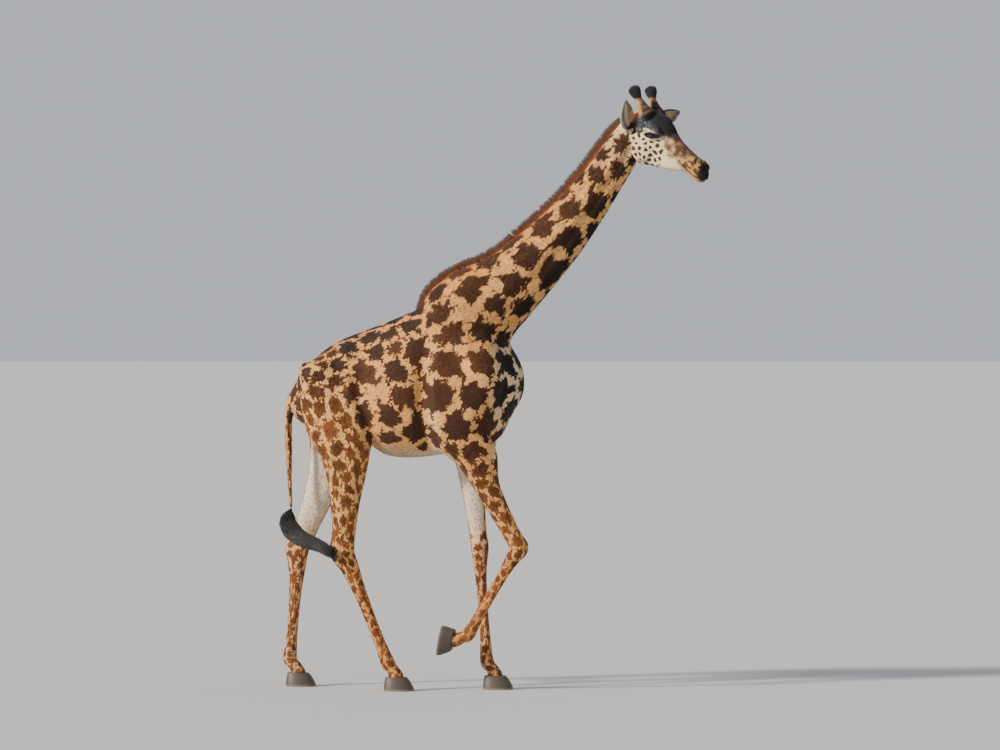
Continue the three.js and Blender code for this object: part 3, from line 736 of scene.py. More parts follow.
# Ribs, the groove of the throat, the band of muscle under the mane and the fold of the flank.
RIB_SPACING = 0.062
FLANK = [(-0.24, 0.27, 2.12), (-0.215, 0.27, 1.98), (-0.165, 0.24, 1.84), (-0.13, 0.18, 1.73)]
flank_side = ramp(abs(y), 0.14, 0.26) * follow.weight["trunk"]
rib_area = ramp(x, -0.20, -0.02) * ramp(x, 0.42, 0.26) * ramp(z, 1.62, 1.80) * ramp(z, 2.45, 2.25)
push += 0.0030 * np.sin((x + 0.32 * (z - 2.0)) / RIB_SPACING * 2 * np.pi) * rib_area * flank_side
neck = PARTS["neck"]
height = follow.up["neck"] / neck.top[follow.station["neck"]]
on_neck = follow.weight["neck"] * ramp(follow.run["neck"], 0.30, 0.55)
for rise, middle, width in ((-0.010, -0.45, 0.16), (0.006, -0.12, 0.20), (-0.006, 0.42, 0.14)):
    push += rise * on_neck * bell(height, middle, width)
for side in (-1, 1):
    push -= 0.040 * ridge(place, [(a, side * b, c) for a, b, c in FLANK], 0.040)
    push += 0.022 * ridge(place, [(a - 0.080, side * b, c) for a, b, c in FLANK], 0.045)
loose = np.sin(follow.run["neck"] * 42.0 + 3.0 * np.sin(follow.up["neck"] * 11.0))
push += 0.0016 * loose * follow.weight["neck"] * ramp(follow.run["neck"], 0.75, 0.45)
ahead = 0.080 * np.exp(-(((x - 0.62) / 0.13) ** 2 + ((z - 1.64) / 0.17) ** 2))
points = points + np.array([1.0, 0.0, 0.0]) * ahead[:, None]
points = relaxed(points + normals * push[:, None], edges, 2, (1 - ramp(on_head, 0.1, 0.5))[:, None] * 0.5)
WIDEST, GIVE = 0.335, 0.022  # half the width that the skin may reach, and where it starts to round off
proud = np.maximum(abs(points[:, 1] + MIDDLE[1]) - (WIDEST - GIVE), 0)
points[:, 1] -= np.sign(points[:, 1] + MIDDLE[1]) * (proud - GIVE * np.tanh(proud / GIVE))
brisket = np.exp(-(((x - 0.68) / 0.13) ** 2 + ((z - 1.72) / 0.16) ** 2))
points = relaxed(points, edges, 40, 0.6 * brisket[:, None])
move(skin_mesh, points)
shade_smooth(skin_mesh)

# ---- markings of the coat -------------------------------------------------------------------
# The ground is cream to orange-tan, with jagged, leaf-shaped dark brown spots: large on the neck
# and shoulder, close together on the trunk, small down the legs. The belly is bare of them.

place = points + MIDDLE
x, y, z = place.T
follow = Follow(points)
normals = normals_of(skin_mesh)
head_spot = in_head(points)
head_side = abs(head_spot[:, 1])


def hue(*parts):
    """A colour given by its display values, as linear light."""
    parts = np.array(parts, float)
    return np.where(parts <= 0.04045, parts / 12.92, ((parts + 0.055) / 1.055) ** 2.4)


def painted(colours, mask, colour):
    """The colour laid over the others where the mask is 1."""
    return colours + (colour - colours) * np.clip(mask, 0, 1)[:, None]


weight = follow.weight
hind = weight["hindleg_right"] + weight["hindleg_left"]
fore = weight["foreleg_right"] + weight["foreleg_left"]
on_head = ramp(follow.near["head"], 1.60, 1.25) * ramp(weight["head"], 0.3, 0.7)
ear_shares = {}  # for each ear: the share run from its root, the gap to its surface, and how far out
for name in EARS:
    root, along, opening, _ = ear_frame(name)
    away = head_spot - root
    run = away @ along
    beside = np.linalg.norm(away - run[:, None] * along, axis=1)
    about = np.flatnonzero((run > 0) & (run < 1.2 * EAR_LENGTH) & (beside < 0.13))
    gap_to_ear = np.ones(len(points))
    surface = ear_surface(name).reshape(-1, 3).astype(np.float32)
    gap_to_ear[about] = np.sqrt(((points[about, None].astype(np.float32) - surface) ** 2).sum(-1).min(1))
    ear_shares[name] = (run / EAR_LENGTH, gap_to_ear, away @ opening)
on_ear = np.max(
    [ramp(run, 0.10, 0.20) * ramp(gap, 0.017, 0.011) for run, gap, _ in ear_shares.values()], axis=0
)
on_ear *= ramp(np.abs(head_side), 0.075, 0.095)


def mottled(places, scale, seed):
    """A smooth random field from about -1 to 1: the mean of sines along random directions."""
    rng = np.random.default_rng(seed)
    ways = unit(rng.normal(0, 1, (9, 3))) * scale * rng.uniform(0.6, 1.7, (9, 1))
    return np.sin(places @ ways.T + rng.uniform(0, 6.28, 9)).mean(1) * 2.2


def layered(colours, layers):
    """The colours with each pair of a mask and a colour painted over them, the first one first."""
    for mask, colour in layers:
        colours = painted(colours, mask, colour)
    return colours


# Ground colour.
CREAM, ORANGE, PALE = hue(0.93, 0.71, 0.44), hue(0.82, 0.51, 0.235), hue(0.93, 0.84, 0.68)
WHITE, SLATE, CHARCOAL = hue(0.93, 0.89, 0.82), hue(0.255, 0.275, 0.30), hue(0.095, 0.09, 0.095)
MUZZLE, NOSE_TAN, LIP = hue(0.74, 0.55, 0.31), hue(0.64, 0.42, 0.24), hue(0.11, 0.085, 0.08)
RUST, TAN, SHADED_BELLY = hue(0.36, 0.21, 0.12), hue(0.76, 0.53, 0.34), hue(0.80, 0.71, 0.60)
back = ramp(normals[:, 2], 0.1, 0.9) * ramp(z, 2.0, 2.4) * (1 - on_head)
belly = ramp(normals[:, 2] + 0.06 * mottled(place, 9.0, 15), -0.55, -0.92)
belly *= weight["trunk"] + 0.6 * (hind + fore)
belly *= ramp(z, 1.90, 1.72)
belly *= ramp(z, 1.30, 1.55) * ramp(x, 0.62, 0.45)
side_out = normals[:, 1] * np.where(y < 0, -1.0, 1.0)
a, b, s = head_spot[:, 0], head_spot[:, 2], head_side
on_muzzle = ramp(a, 0.42, 0.48) * (a < 0.8) * (abs(b) < 0.2) * (s < 0.15)
on_head = np.maximum(on_head, on_muzzle)
inner_leg = ramp(-side_out + 0.12 * mottled(place, 9.0, 14), 0.30, 0.75) * (hind + fore) * ramp(z, 1.75, 1.55)
inner_leg *= 0.25 + 0.75 * ramp(z, 0.85, 1.25)
chest = ramp(x, 0.62, 0.76) * weight["trunk"]
# Painted highlight: a pale strip down the sunlit back edge of the shoulder, with fewer spots on it.
shoulder_highlight = bell(x - 0.245 - 0.10 * (z - 1.9) ** 2, 0.040, 0.034)
shoulder_highlight *= ramp(z, 2.14, 2.02) * ramp(z, 1.45, 1.60) * (1 - on_head)
# Painted highlight: a pale line in front of the thigh, along the fold of the flank.
FLANK_HIGHLIGHT_PATH = [(-0.265, 0.27, 2.15), (-0.225, 0.27, 2.00), (-0.185, 0.24, 1.87)]
flank_highlight = np.max([ridge(place, [(u, side * v, w) for u, v, w in FLANK_HIGHLIGHT_PATH], 0.022) for side in (-1, 1)], axis=0)
ground = layered(np.tile(CREAM, (len(points), 1)), [
    (0.75 * back, ORANGE),
    (0.34 * ramp(z, 2.9, 2.0) * (1 - on_head) * (1 - 0.8 * hind), ORANGE),
    (0.55 * ramp(z, 1.1, 0.5), ORANGE),
    # The belly's own pale, unspotted hide, greyed down as painted shade.
    (0.85 * belly, SHADED_BELLY),
    (0.8 * inner_leg, WHITE),
    # The chest's own pale ground, with painted highlights along the shoulder's back edge and the fold of the
    # flank.
    (0.75 * chest + 0.5 * shoulder_highlight + 0.6 * flank_highlight, PALE),
    (0.65 * weight["neck"] * ramp(follow.run["neck"], 1.55, 1.85), PALE),
    (on_head, PALE),
])

# Face: white cheeks, slate temples, a dark forehead, a tan nose and a dark edge to the lips.
CROWN = [  # forwards, and the height above which the forehead is dark
    (-0.10, 0.14), (0.02, 0.055), (0.10, 0.036), (0.20, 0.034), (0.27, 0.012), (0.34, 0.018), (0.44, 0.05)
]
ABOVE_BROW = [  # forwards, and the height above which the temple is slate
    (-0.04, -0.02), (0.03, -0.078), (0.07, -0.092), (0.11, -0.080), (0.15, -0.034),
    (0.19, -0.002), (0.23, 0.008), (0.27, 0.000), (0.32, 0.05),
]
mottle, fine, blotch = (mottled(head_spot, *field) for field in ((105.0, 8), (330.0, 9), (240.0, 5)))
half_face = np.stack([a, s, b], 1)
nose = ramp(a, 0.25, 0.38) * ramp(b, -0.085, -0.025)
top_line = ramp(b, 0.0, 0.045) * ramp(s, 0.055, 0.020) * ramp(a, 0.30, 0.36)
crown = np.interp(a, *np.array(CROWN).T)
above_brow = np.interp(a, *np.array(ABOVE_BROW).T)
temple = ramp(b - above_brow, 0.0, 0.014) * ramp(a, -0.02, 0.02) * ramp(a, 0.31, 0.26) * ramp(s, 0.03, 0.05)
brow = ridge(half_face, [(0.128, 0.10, -0.026), (0.180, 0.11, -0.004), (0.250, 0.09, -0.006)], 0.011)
poll = on_head * ramp(a, 0.06, 0.0) * ramp(b, -0.06, 0.0) * ramp(s, 0.10, 0.07)
ground = layered(ground, [
    (on_head * nose * (0.80 + 0.2 * mottle), NOSE_TAN),
    (on_head * ramp(a, 0.47, 0.55), MUZZLE),
    (0.85 * on_head * ramp(a, 0.26, 0.35) * ramp(b, -0.10, -0.03) * ramp(mottle, -0.1, 0.5), RUST),
    (0.8 * on_head * ramp(a, 0.30, 0.40) * ramp(b, -0.11, -0.05) * ramp(fine, 0.15, 0.6), RUST),
    (0.85 * on_head * top_line, RUST),
    (0.93 * on_head * blob(np.stack([a, b], 1), (0.460, 0.010), (0.050, 0.022)), LIP),
    (0.9 * on_head * ramp(a, 0.42, 0.50) * ramp(mottle, 0.0, 0.5) * ramp(b, -0.10, -0.06), RUST),
    (0.9 * on_head * ramp(a, 0.50, 0.56) * ramp(fine, 0.2, 0.6) * ramp(b, -0.08, -0.04), LIP),
    (on_head * temple, SLATE),
    (0.9 * on_head * temple * ramp(blotch, 0.35, 0.75), CHARCOAL),
    (0.25 * on_head * temple * ramp(blotch, -0.45, -0.9), PALE),
    (on_head * ramp(b - crown, -0.006, 0.020) * ramp(a, 0.00, 0.05) * ramp(a, 0.42, 0.30), CHARCOAL),
    (on_head * ramp(brow, 0.35, 0.7), PALE),
    (0.7 * poll, ORANGE),
])
stems = np.zeros(len(points))
for side in (-1, 1):
    root, lean, ahead, beside = ossicone_frame(side)
    away = head_spot - root
    reach = away @ lean
    off_axis = away - reach[:, None] * lean
    stem = ramp(np.linalg.norm(off_axis, axis=1), 0.066, 0.050) * ramp(reach, -0.035, 0.0) * on_head
    ground = layered(ground, [(stem, TAN), (stem * ramp(off_axis @ ahead, -0.008, 0.018), CHARCOAL)])
    stems = np.maximum(stems, stem)
eye_local = (half_face - EYE_PLACE) @ eye_axes(1)
around_eye = ((eye_local[:, 0] - 0.010) / 0.070) ** 2 + (eye_local[:, 2] / 0.021) ** 2
tear = ridge(half_face, [(0.232, 0.09, -0.022), (0.285, 0.082, -0.030)], 0.011)
front = ramp(a + 0.35 * b + 0.012 * fine, 0.612, 0.634) * ramp(b + 0.01 * fine, -0.082, -0.060)
slit = in_nostril(half_face)
nostril = (slit[:, 0] / 0.023) ** 2 + (slit[:, 1] / 0.022) ** 2 + (slit[:, 2] / 0.0075) ** 2
mouth = bell(b, mouth_height(a), 0.0055) * ramp(a, 0.49, 0.51)
ear_inside = on_ear * np.max(
    [ramp(out, -0.012, 0.012) * (gap < 0.02) for _, gap, out in ear_shares.values()], axis=0
)
ground = layered(ground, [
    (on_head * ramp(around_eye, 1.5, 0.7) * ramp(s, 0.04, 0.06), LIP),
    (on_head * ramp(tear, 0.3, 0.7), LIP),
    (on_head * front, LIP),
    (on_head * ramp(nostril, 1.6, 0.8) * ramp(a, 0.5, 0.54), LIP),
    (on_head * ramp(mouth, 0.35, 0.7), LIP),
    (on_ear * (1 - stems), PALE),
    (0.93 * ear_inside * (1 - stems), SLATE),
])

# Spots: their colour.
CHESTNUT, UMBER, BLACKISH = hue(0.49, 0.285, 0.12), hue(0.30, 0.165, 0.07), hue(0.14, 0.095, 0.065)
FACE_SPOT = hue(0.20, 0.125, 0.075)
# Painted shade: spots turn blackish along the underside of the neck.
throat_shade = ramp(follow.up["neck"] / neck.low[follow.station["neck"]], -0.35, -0.85)
throat_shade *= ramp(weight["neck"], 0.3, 0.8)
# Spots are blackish on the top of the trunk and on the chest, and as painted shade under the neck.
blackish_and_shade = np.clip(0.9 * ramp(normals[:, 2], 0.25, 0.8) * weight["trunk"] + throat_shade + chest, 0, 1)
spot = layered(np.tile(UMBER, (len(points), 1)), [
    (ramp(hind, 0.3, 0.9) * ramp(z, 2.20, 1.75), CHESTNUT),
    (ramp(z, 1.7, 1.2), CHESTNUT),
    (blackish_and_shade, BLACKISH),
    (0.9 * on_head, FACE_SPOT),
])

# Spots: how far apart their middles are, and half the width of the pale lines between them.
up_neck = follow.run["neck"] / neck.length[-1]
trunk_space = 0.190 - 0.050 * ramp(x, 0.35, 0.0)
neck_space = 0.205 - 0.030 * ramp(up_neck, 0.3, 0.7) - 0.060 * ramp(up_neck, 0.7, 0.95)
fore_space = np.interp(z, [0.0, 0.6, 1.1, 1.5, 1.9], [0.050, 0.055, 0.074, 0.110, 0.180])
hind_space = np.interp(z, [0.0, 0.6, 1.0, 1.5, 1.9], [0.050, 0.052, 0.062, 0.082, 0.112])
spaces = {"trunk": trunk_space, "neck": neck_space, "head": 0.046, "tail": 0.055}
spaces |= {name: fore_space if name.startswith("fore") else hind_space for name in LEGS}
space = sum(weight[name] * value for name, value in spaces.items())
halves = {"trunk": 0.0005, "neck": 0.0060, "head": 0.0075, "tail": 0.003}
halves |= {name: 0.0012 for name in LEGS}
gap = sum(weight[name] * value for name, value in halves.items())
# The pale lines between spots widen under the painted highlights on the shoulder and the flank.
gap += 0.006 * shoulder_highlight + 0.008 * flank_highlight
gap += 0.12 * belly + 0.08 * inner_leg * ramp(z, 0.9, 1.3)
gap += on_head * (0.05 * ramp(a, 0.33, 0.42) + 0.05 * ramp(b, -0.055, -0.01) + 0.03 * ramp(a, 0.02, -0.04))
gap += 0.1 * on_ear + 0.03 * ramp(around_eye, 2.4, 1.6) * on_head

# Over the spacing: the least gap between middles, how far edges wander and how deep notches are.
CROWDING, SHAKE, NOTCH = 0.80, 0.088, 0.165


def spot_middles(candidates, seed):
    """Points of the skin in a random order, each kept if none kept before is too near."""
    rng = np.random.default_rng(seed)
    kept = np.empty(0, int)
    for index in rng.permutation(len(points))[:candidates]:
        near = ((points[kept] - points[index]) ** 2).sum(1) < (CROWDING * space[index]) ** 2
        facing = normals[kept] @ normals[index] > 0.2
        if not (near & facing).any():
            kept = np.append(kept, index)
    return kept


middles = spot_middles(16000, 19)
tones = np.random.default_rng(20).uniform(0.72, 1.30, len(middles))
petals = np.random.default_rng(21).integers(5, 10, len(middles))
phases = np.random.default_rng(22).uniform(0, 2 * np.pi, (2, len(middles)))
shake = np.stack([mottled(place, 38.0, k) for k in (31, 32, 33)], 1)
shake = shake + 0.6 * np.stack([mottled(place, 95.0, k) for k in (34, 35, 36)], 1)
shaken = points + SHAKE * space[:, None] * shake


def spot_field(block):
    """For the block of points: the seed that is nearest for its size, how far inside that seed's
    cell each point lies, in metres, and the distance from the seed over the seed's size. Faces
    that look different ways count as further apart, so spots don't reach through a leg."""
    seed_space = space[middles]
    away = ((shaken[block, None] - points[None, middles]) ** 2).sum(-1)
    facing = 1 - normals[block] @ normals[middles].T
    ratio = np.sqrt(away + 0.35 * facing * seed_space**2) / seed_space
    order = np.argpartition(ratio, 1, axis=1)[:, :2]
    first, second = np.sort(np.take_along_axis(ratio, order, 1), 1).T
    owner = ratio.argmin(1)
    return owner, (second - first) / 2 * seed_space[owner], first


blocks = [spot_field(block) for block in np.array_split(np.arange(len(points)), 60)]
spot_owner, level, out_share = (np.concatenate(column) for column in zip(*blocks))
seed_out = normals[middles][spot_owner]
seed_way = unit(np.cross(seed_out, [0.31, 0.52, 0.80]))
away = shaken - points[middles][spot_owner]
bearing = np.arctan2((away * seed_way).sum(1), (away * np.cross(seed_out, seed_way)).sum(1))
notch = 0.5 + 0.5 * np.cos(petals[spot_owner] * bearing + phases[0][spot_owner])
notch += 0.35 * (0.5 + 0.5 * np.cos((2 * petals[spot_owner] + 3) * bearing + phases[1][spot_owner]))
level = level - NOTCH * space * notch**1.5 * np.clip(out_share / 0.48, 0, 1.2) ** 1.6 * (1 - 0.5 * on_head)
spot = spot * tones[spot_owner][:, None]
ragged = np.clip(space / 0.13, 0.3, 1.0)

# The lie of the hair, and places along and across it for the fine streaks of the coat.
lie = -follow.weight["trunk"][:, None] * np.array([1.0, 0.0, 0.55])
lie = lie - weight["neck"][:, None] * (neck.along[follow.station["neck"]] + np.array([0.0, 0.0, 0.35]))
lie = lie - weight["head"][:, None] * PARTS["head"].along[follow.station["head"]]
for name in (*LEGS, "tail"):
    lie = lie + weight[name][:, None] * PARTS[name].along[follow.station[name]]
for name in EARS:
    run, beside, _ = ear_shares[name]
    on_this = on_ear * (beside < 0.02) * (run > 0) * (run < 1.2)
    lie = lie + 3 * on_this[:, None] * (HEAD_AXES @ ear_frame(name)[1])
lie = unit(lie - normals * (lie * normals).sum(1)[:, None])
STREAK = 0.14  # how much longer than wide a streak of hair is, turned over
comb = np.zeros_like(points)
for k, name in enumerate(PARTS):
    mine = follow.owner == k
    comb[mine] = np.stack([follow.across[name], follow.up[name], follow.run[name] * STREAK + k], 1)[mine]


def attributes(mesh, fields):
    """Puts arrays on the mesh's points, by name: numbers, places or colours."""
    for name, values in fields.items():
        values = np.asarray(values, np.float32)
        if values.ndim == 1:
            mesh.attributes.new(name, "FLOAT", "POINT").data.foreach_set("value", values)
        elif name in ("ground", "spot"):
            full = np.concatenate([values, np.ones((len(values), 1), np.float32)], 1)
            mesh.attributes.new(name, "FLOAT_COLOR", "POINT").data.foreach_set("color", full.ravel())
        else:
            mesh.attributes.new(name, "FLOAT_VECTOR", "POINT").data.foreach_set("vector", values.ravel())


COAT = {"ground": ground, "spot": spot, "inside": level - gap, "ragged": ragged, "root": points, "comb": comb}
attributes(skin_mesh, COAT)


class Weave:
    """The nodes of one material, joined as they are made."""

    def __init__(self, name):
        """A material of that name without any node."""
        self.material = bpy.data.materials.new(name)
        self.material.use_nodes = True
        self.tree = self.material.node_tree
        self.tree.nodes.clear()

    def node(self, kind, inputs=(), **settings):
        """A node with its settings, whose inputs are joined to sockets or set to constants."""
        made = self.tree.nodes.new("ShaderNode" + kind)
        for key, value in settings.items():
            setattr(made, key, value)
        for key, value in dict(inputs).items():
            if isinstance(value, bpy.types.NodeSocket):
                self.tree.links.new(value, made.inputs[key])
            else:
                made.inputs[key].default_value = value
        return made

    def read(self, name, output="Fac"):
        """What the mesh's points say under that name."""
        return self.node("Attribute", attribute_name=name).outputs[output]

    def maths(self, operation, *values):
        """One operation on sockets or numbers."""
        return self.node("Math", enumerate(values), operation=operation).outputs[0]

    def spread(self, value, width, middle):
        """Width times the value, plus the middle."""
        return self.maths("MULTIPLY_ADD", value, width, middle)

    def step(self, value, low, high):
        """0 to 1 over low to high, smoothly. The ends are numbers or sockets."""
        inputs = {"Value": value, "From Min": low, "From Max": high}
        return self.node("MapRange", inputs, interpolation_type="SMOOTHSTEP").outputs[0]

    def mix(self, share, first, second):
        """From the first colour to the second as the share goes from 0 to 1."""
        ends = [end if isinstance(end, bpy.types.NodeSocket) else (*end, 1) for end in (first, second)]
        return self.node("Mix", {0: share, 6: ends[0], 7: ends[1]}, data_type="RGBA").outputs[2]

    def scaled(self, colour, share):
        """The colour times that share."""
        return self.node("VectorMath", {0: colour, "Scale": share}, operation="SCALE").outputs[0]

    def noise(self, vector, scale, detail=3.0, rough=0.5):
        """Cloudy noise from 0 to 1, with patches about one over `scale` across."""
        inputs = {"Vector": vector, "Scale": scale, "Detail": detail, "Roughness": rough}
        return self.node("TexNoise", inputs).outputs["Fac"]

    def bump(self, height, strength, distance):
        """The surface's normal, tilted by the slope of the height."""
        inputs = {"Height": height, "Strength": strength, "Distance": distance}
        return self.node("Bump", inputs).outputs[0]

    def done(self, sockets):
        """The shader with its sockets, joined to the surface."""
        made = self.node("BsdfPrincipled", sockets)
        out = self.tree.nodes.new("ShaderNodeOutputMaterial")
        self.tree.links.new(made.outputs[0], out.inputs["Surface"])
        return self.material


def coat_material():
    """Spots over the ground colour, a change of tone from hair to hair, and streaks that stand up
    along the lie of the hair."""
    weave = Weave("short_coat")
    place, comb = weave.read("root", "Vector"), weave.read("comb", "Vector")
    ground, spot = weave.read("ground", "Color"), weave.read("spot", "Color")
    teeth = weave.noise(place, 60.0, 1.5, 0.55)
    bays = weave.noise(place, 24.0, 1.0, 0.5)
    edge = weave.maths("ADD", weave.spread(teeth, 0.084, -0.042), weave.spread(bays, 0.034, -0.017))
    level = weave.spread(edge, weave.read("ragged"), weave.read("inside"))
    mask = weave.step(level, -0.0022, 0.0022)
    heart = weave.step(level, 0.0, 0.035)
    patches = weave.noise(place, 7.0, 3.0)
    strand = weave.noise(comb, 420.0, 2.0, 0.6)
    tone = weave.maths("MULTIPLY", weave.spread(patches, 0.9, 0.58), weave.spread(heart, -0.30, 1.16))
    pale = weave.scaled(ground, weave.spread(patches, 0.4, 0.80))
    colour = weave.mix(mask, pale, weave.scaled(spot, tone))
    wave = weave.noise(comb, 120.0, 2.0, 0.5)
    relief = weave.maths("ADD", strand, weave.maths("MULTIPLY", wave, 1.3))
    return weave.done({
        "Base Color": weave.scaled(colour, weave.spread(strand, 0.42, 0.79)),
        "Roughness": 0.72,
        "Specular IOR Level": 0.25,
        "Sheen Weight": 0.08,
        "Sheen Roughness": 0.5,
        "Normal": weave.bump(relief, 0.35, 0.004),
    })


coat = coat_material()
FLESH = ["trunk", "neck", "head", "tail", "ear_right", "ear_left"]
FLESH += [f"{leg}_{part}" for leg in LEGS for part in ("upper", "lower", "foot")]


def piece(mesh, name, material, slot, *nodes):
    """An object of the mesh that rides on the animal and stands for the nodes."""
    made = bpy.data.objects.new(name, mesh)
    bpy.context.scene.collection.objects.link(made)
    mesh.materials.append(material)
    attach(made, "root")
    if nodes:
        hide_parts(*nodes)


piece(skin_mesh, "skin", coat, "spotted_coat", *FLESH)

# ---- eyes -----------------------------------------------------------------------------------
# Dark wet balls with a brown iris and a level pupil, held by thick black lids. The lids are rims
# grown along the opening of the skin, and long lashes stand out of the upper one.


def solid_mesh(points, triangles, name):
    """A mesh of triangles from arrays."""
    mesh = bpy.data.meshes.new(name)
    mesh.vertices.add(len(points))
    mesh.vertices.foreach_set("co", np.asarray(points, np.float32).ravel())
    mesh.loops.add(triangles.size)
    mesh.loops.foreach_set("vertex_index", triangles.astype(np.int32).ravel())
    mesh.polygons.add(len(triangles))
    mesh.polygons.foreach_set("loop_start", np.arange(0, triangles.size, 3, dtype=np.int32))
    mesh.polygons.foreach_set("use_smooth", np.ones(len(triangles), bool))
    mesh.update(calc_edges=True)
    return mesh


def locks_mesh(paths, widths, name, wide=None):
    """Hairs or locks: a three-sided tube along each path, with a point for its end.

    `paths` is hairs x places x 3 and `widths` hairs x places, the last place being the tip. The
    section is a triangle of that width, about half as thick, with its base towards the body."""
    count, places = paths.shape[:2]
    along = unit(np.gradient(paths, axis=1))
    if wide is None:
        wide = unit(np.cross(along, np.array([0.3, 0.2, 1.0])))
    else:
        wide = unit(np.cross(wide, along))
    thick = np.cross(along, wide)
    corners = np.array([[-0.5, 0.0], [0.5, 0.0], [0.0, 0.55]])
    rings = (
        paths[:, :-1, None]
        + wide[:, :-1, None] * (widths[:, :-1, None] * corners[:, 0])[..., None]
        + thick[:, :-1, None] * (widths[:, :-1, None] * corners[:, 1])[..., None]
    )
    per = (places - 1) * 3 + 1
    points = np.concatenate([rings.reshape(count, -1, 3), paths[:, -1:]], 1)
    ring, corner = np.meshgrid(np.arange(places - 2), np.arange(3), indexing="ij")
    start, beside = ring * 3 + corner, ring * 3 + (corner + 1) % 3
    walls = np.stack([start, beside, beside + 3, start, beside + 3, start + 3], -1).reshape(-1, 3)
    last = (places - 2) * 3
    ends = np.array([[last, last + 1, per - 1], [last + 1, last + 2, per - 1], [last + 2, last, per - 1]])
    pattern = np.concatenate([walls, ends])
    triangles = (pattern[None] + per * np.arange(count)[:, None, None]).reshape(-1, 3)
    mesh = solid_mesh(points.reshape(-1, 3), triangles, name)
    share = np.concatenate([np.repeat(np.arange(places - 1) / (places - 1), 3), [1.0]])
    attributes(mesh, {"share": np.tile(share, count)})
    return mesh, per


def chart_places(places):
    """Where places lie on an unwrap of the body: every part is cut along its underside and laid
    flat in its own field of a 4 x 2 sheet, run along it by turn round it."""
    follow = Follow(places)
    spots = np.zeros((len(places), 2))
    for k, name in enumerate(PARTS):
        run = np.clip(follow.run[name] / PARTS[name].length[-1], 0, 1)
        turn = np.arctan2(follow.across[name], follow.up[name]) / (2 * np.pi) + 0.5
        field = np.stack([(k % 4 + 0.04 + 0.92 * run) / 4, (k // 4 + 0.04 + 0.92 * turn) / 2], 1)
        spots[follow.owner == k] = field[follow.owner == k]
    return spots


def bake_patches(mesh, spots, per):
    """The map OFBake: every hair is a patch 0.003 across at its root's place on the unwrap."""
    layer = mesh.uv_layers.new(name="OFBake")
    corner = np.arange(per)
    local = np.stack([(corner % 3) / 2.0, (corner // 3) / max(1, (per - 1) // 3)], 1) - 0.5
    places = (spots[:, None] + 0.003 * local[None]).reshape(-1, 2)
    vertex = numbers(mesh.loops, "vertex_index", 1, np.int32)
    layer.data.foreach_set("uv", places[vertex].astype(np.float32).ravel())


SIDES = ((-1, "right"), (1, "left"))


def eye_to_frame(side, along, out, up):
    """From the eye's own axes to the frame."""
    local = np.stack([along, out, up], -1) @ eye_axes(1).T + EYE_PLACE
    return from_head(local * [1.0, side, 1.0])


def ball_surface(side, rings=40, around=64):
    """Latitude rings round the way the eye looks, the front standing out a little more."""
    polar = np.linspace(0.03, np.pi - 0.03, rings)[:, None] * np.ones(around)
    turn = np.arange(around) / around * 2 * np.pi * np.ones((rings, 1)) * -side
    bulge = EYE_RADIUS + 0.0012 * np.exp(-((polar / 0.55) ** 2))
    along, out = bulge * np.sin(polar) * np.cos(turn), bulge * np.cos(polar)
    return eye_to_frame(side, along, out, bulge * np.sin(polar) * np.sin(turn)), polar, turn


def eye_material():
    """Black pupil, dark brown iris with fine spokes, and a darker rim, all wet."""
    weave = Weave("wet_eye")
    spokes = weave.noise(weave.read("spoke", "Vector"), 9.0, 3.0)
    iris = weave.mix(spokes, hue(0.20, 0.11, 0.06), hue(0.36, 0.22, 0.12))
    iris = weave.mix(weave.step(weave.read("polar"), 0.62, 0.80), iris, hue(0.07, 0.05, 0.05))
    colour = weave.mix(weave.step(weave.read("level"), 1.1, 0.9), iris, (0.004, 0.003, 0.003))
    return weave.done({"Base Color": colour, "Roughness": 0.12, "Coat Weight": 1.0, "Coat Roughness": 0.03})


PUPIL_LONG, PUPIL_HIGH = 0.36, 0.22  # half the pupil, as sines of the angle from the eye's middle
wet = eye_material()
for side, name in SIDES:
    grid, polar, turn = ball_surface(side)
    along, up = np.sin(polar) * np.cos(turn), np.sin(polar) * np.sin(turn)
    ball = grid_mesh([grid], f"eyeball_{name}")
    attributes(ball, {
        "polar": polar.ravel(),
        "level": ((along / PUPIL_LONG) ** 2 + (up / PUPIL_HIGH) ** 2).ravel(),
        "spoke": np.stack([np.cos(turn), np.sin(turn), polar * 0.25], -1).reshape(-1, 3),
    })
    shade_smooth(ball)
    piece(ball, f"eyeball_{name}", wet, "eye", f"eye_{name}")


def lid_line(share, upper, stand=0.0):
    """Along one lid from its back corner to its front, on a bowl a little wider than the ball."""
    along = LID_HALF * (2 * share - 1)
    up = lid_height(along) * np.where(upper, 1.0, -0.92)
    up = up * np.sqrt(np.clip(1 - (2 * share - 1) ** 4, 0.0, 1))
    out = np.sqrt(np.maximum(0.047**2 - along**2 - up**2, 0)) - 0.0195 + stand
    return along, out, up


def lid_surface(side, rings=72, around=10):
    """A rim carried round the almond: round in section, thicker along the upper lid."""
    turn = np.arange(rings) / rings * 2 * np.pi
    upper = np.sin(turn) > 0
    along, out, up = lid_line(0.5 - 0.5 * np.cos(turn), upper)
    thick = np.where(upper, 0.0052, 0.0036) * (0.75 + 0.25 * abs(np.sin(turn)))
    round_ = np.arange(around) / around * 2 * np.pi
    outwards = np.stack([along / LID_HALF, up / 0.02], 1)
    outwards = outwards / np.maximum(np.linalg.norm(outwards, axis=1, keepdims=True), 1e-6)
    reach = thick[:, None] * np.cos(round_)
    return eye_to_frame(
        side,
        along[:, None] + outwards[:, :1] * reach,
        out[:, None] + thick[:, None] * np.sin(round_),
        up[:, None] + outwards[:, 1:] * reach,
    )


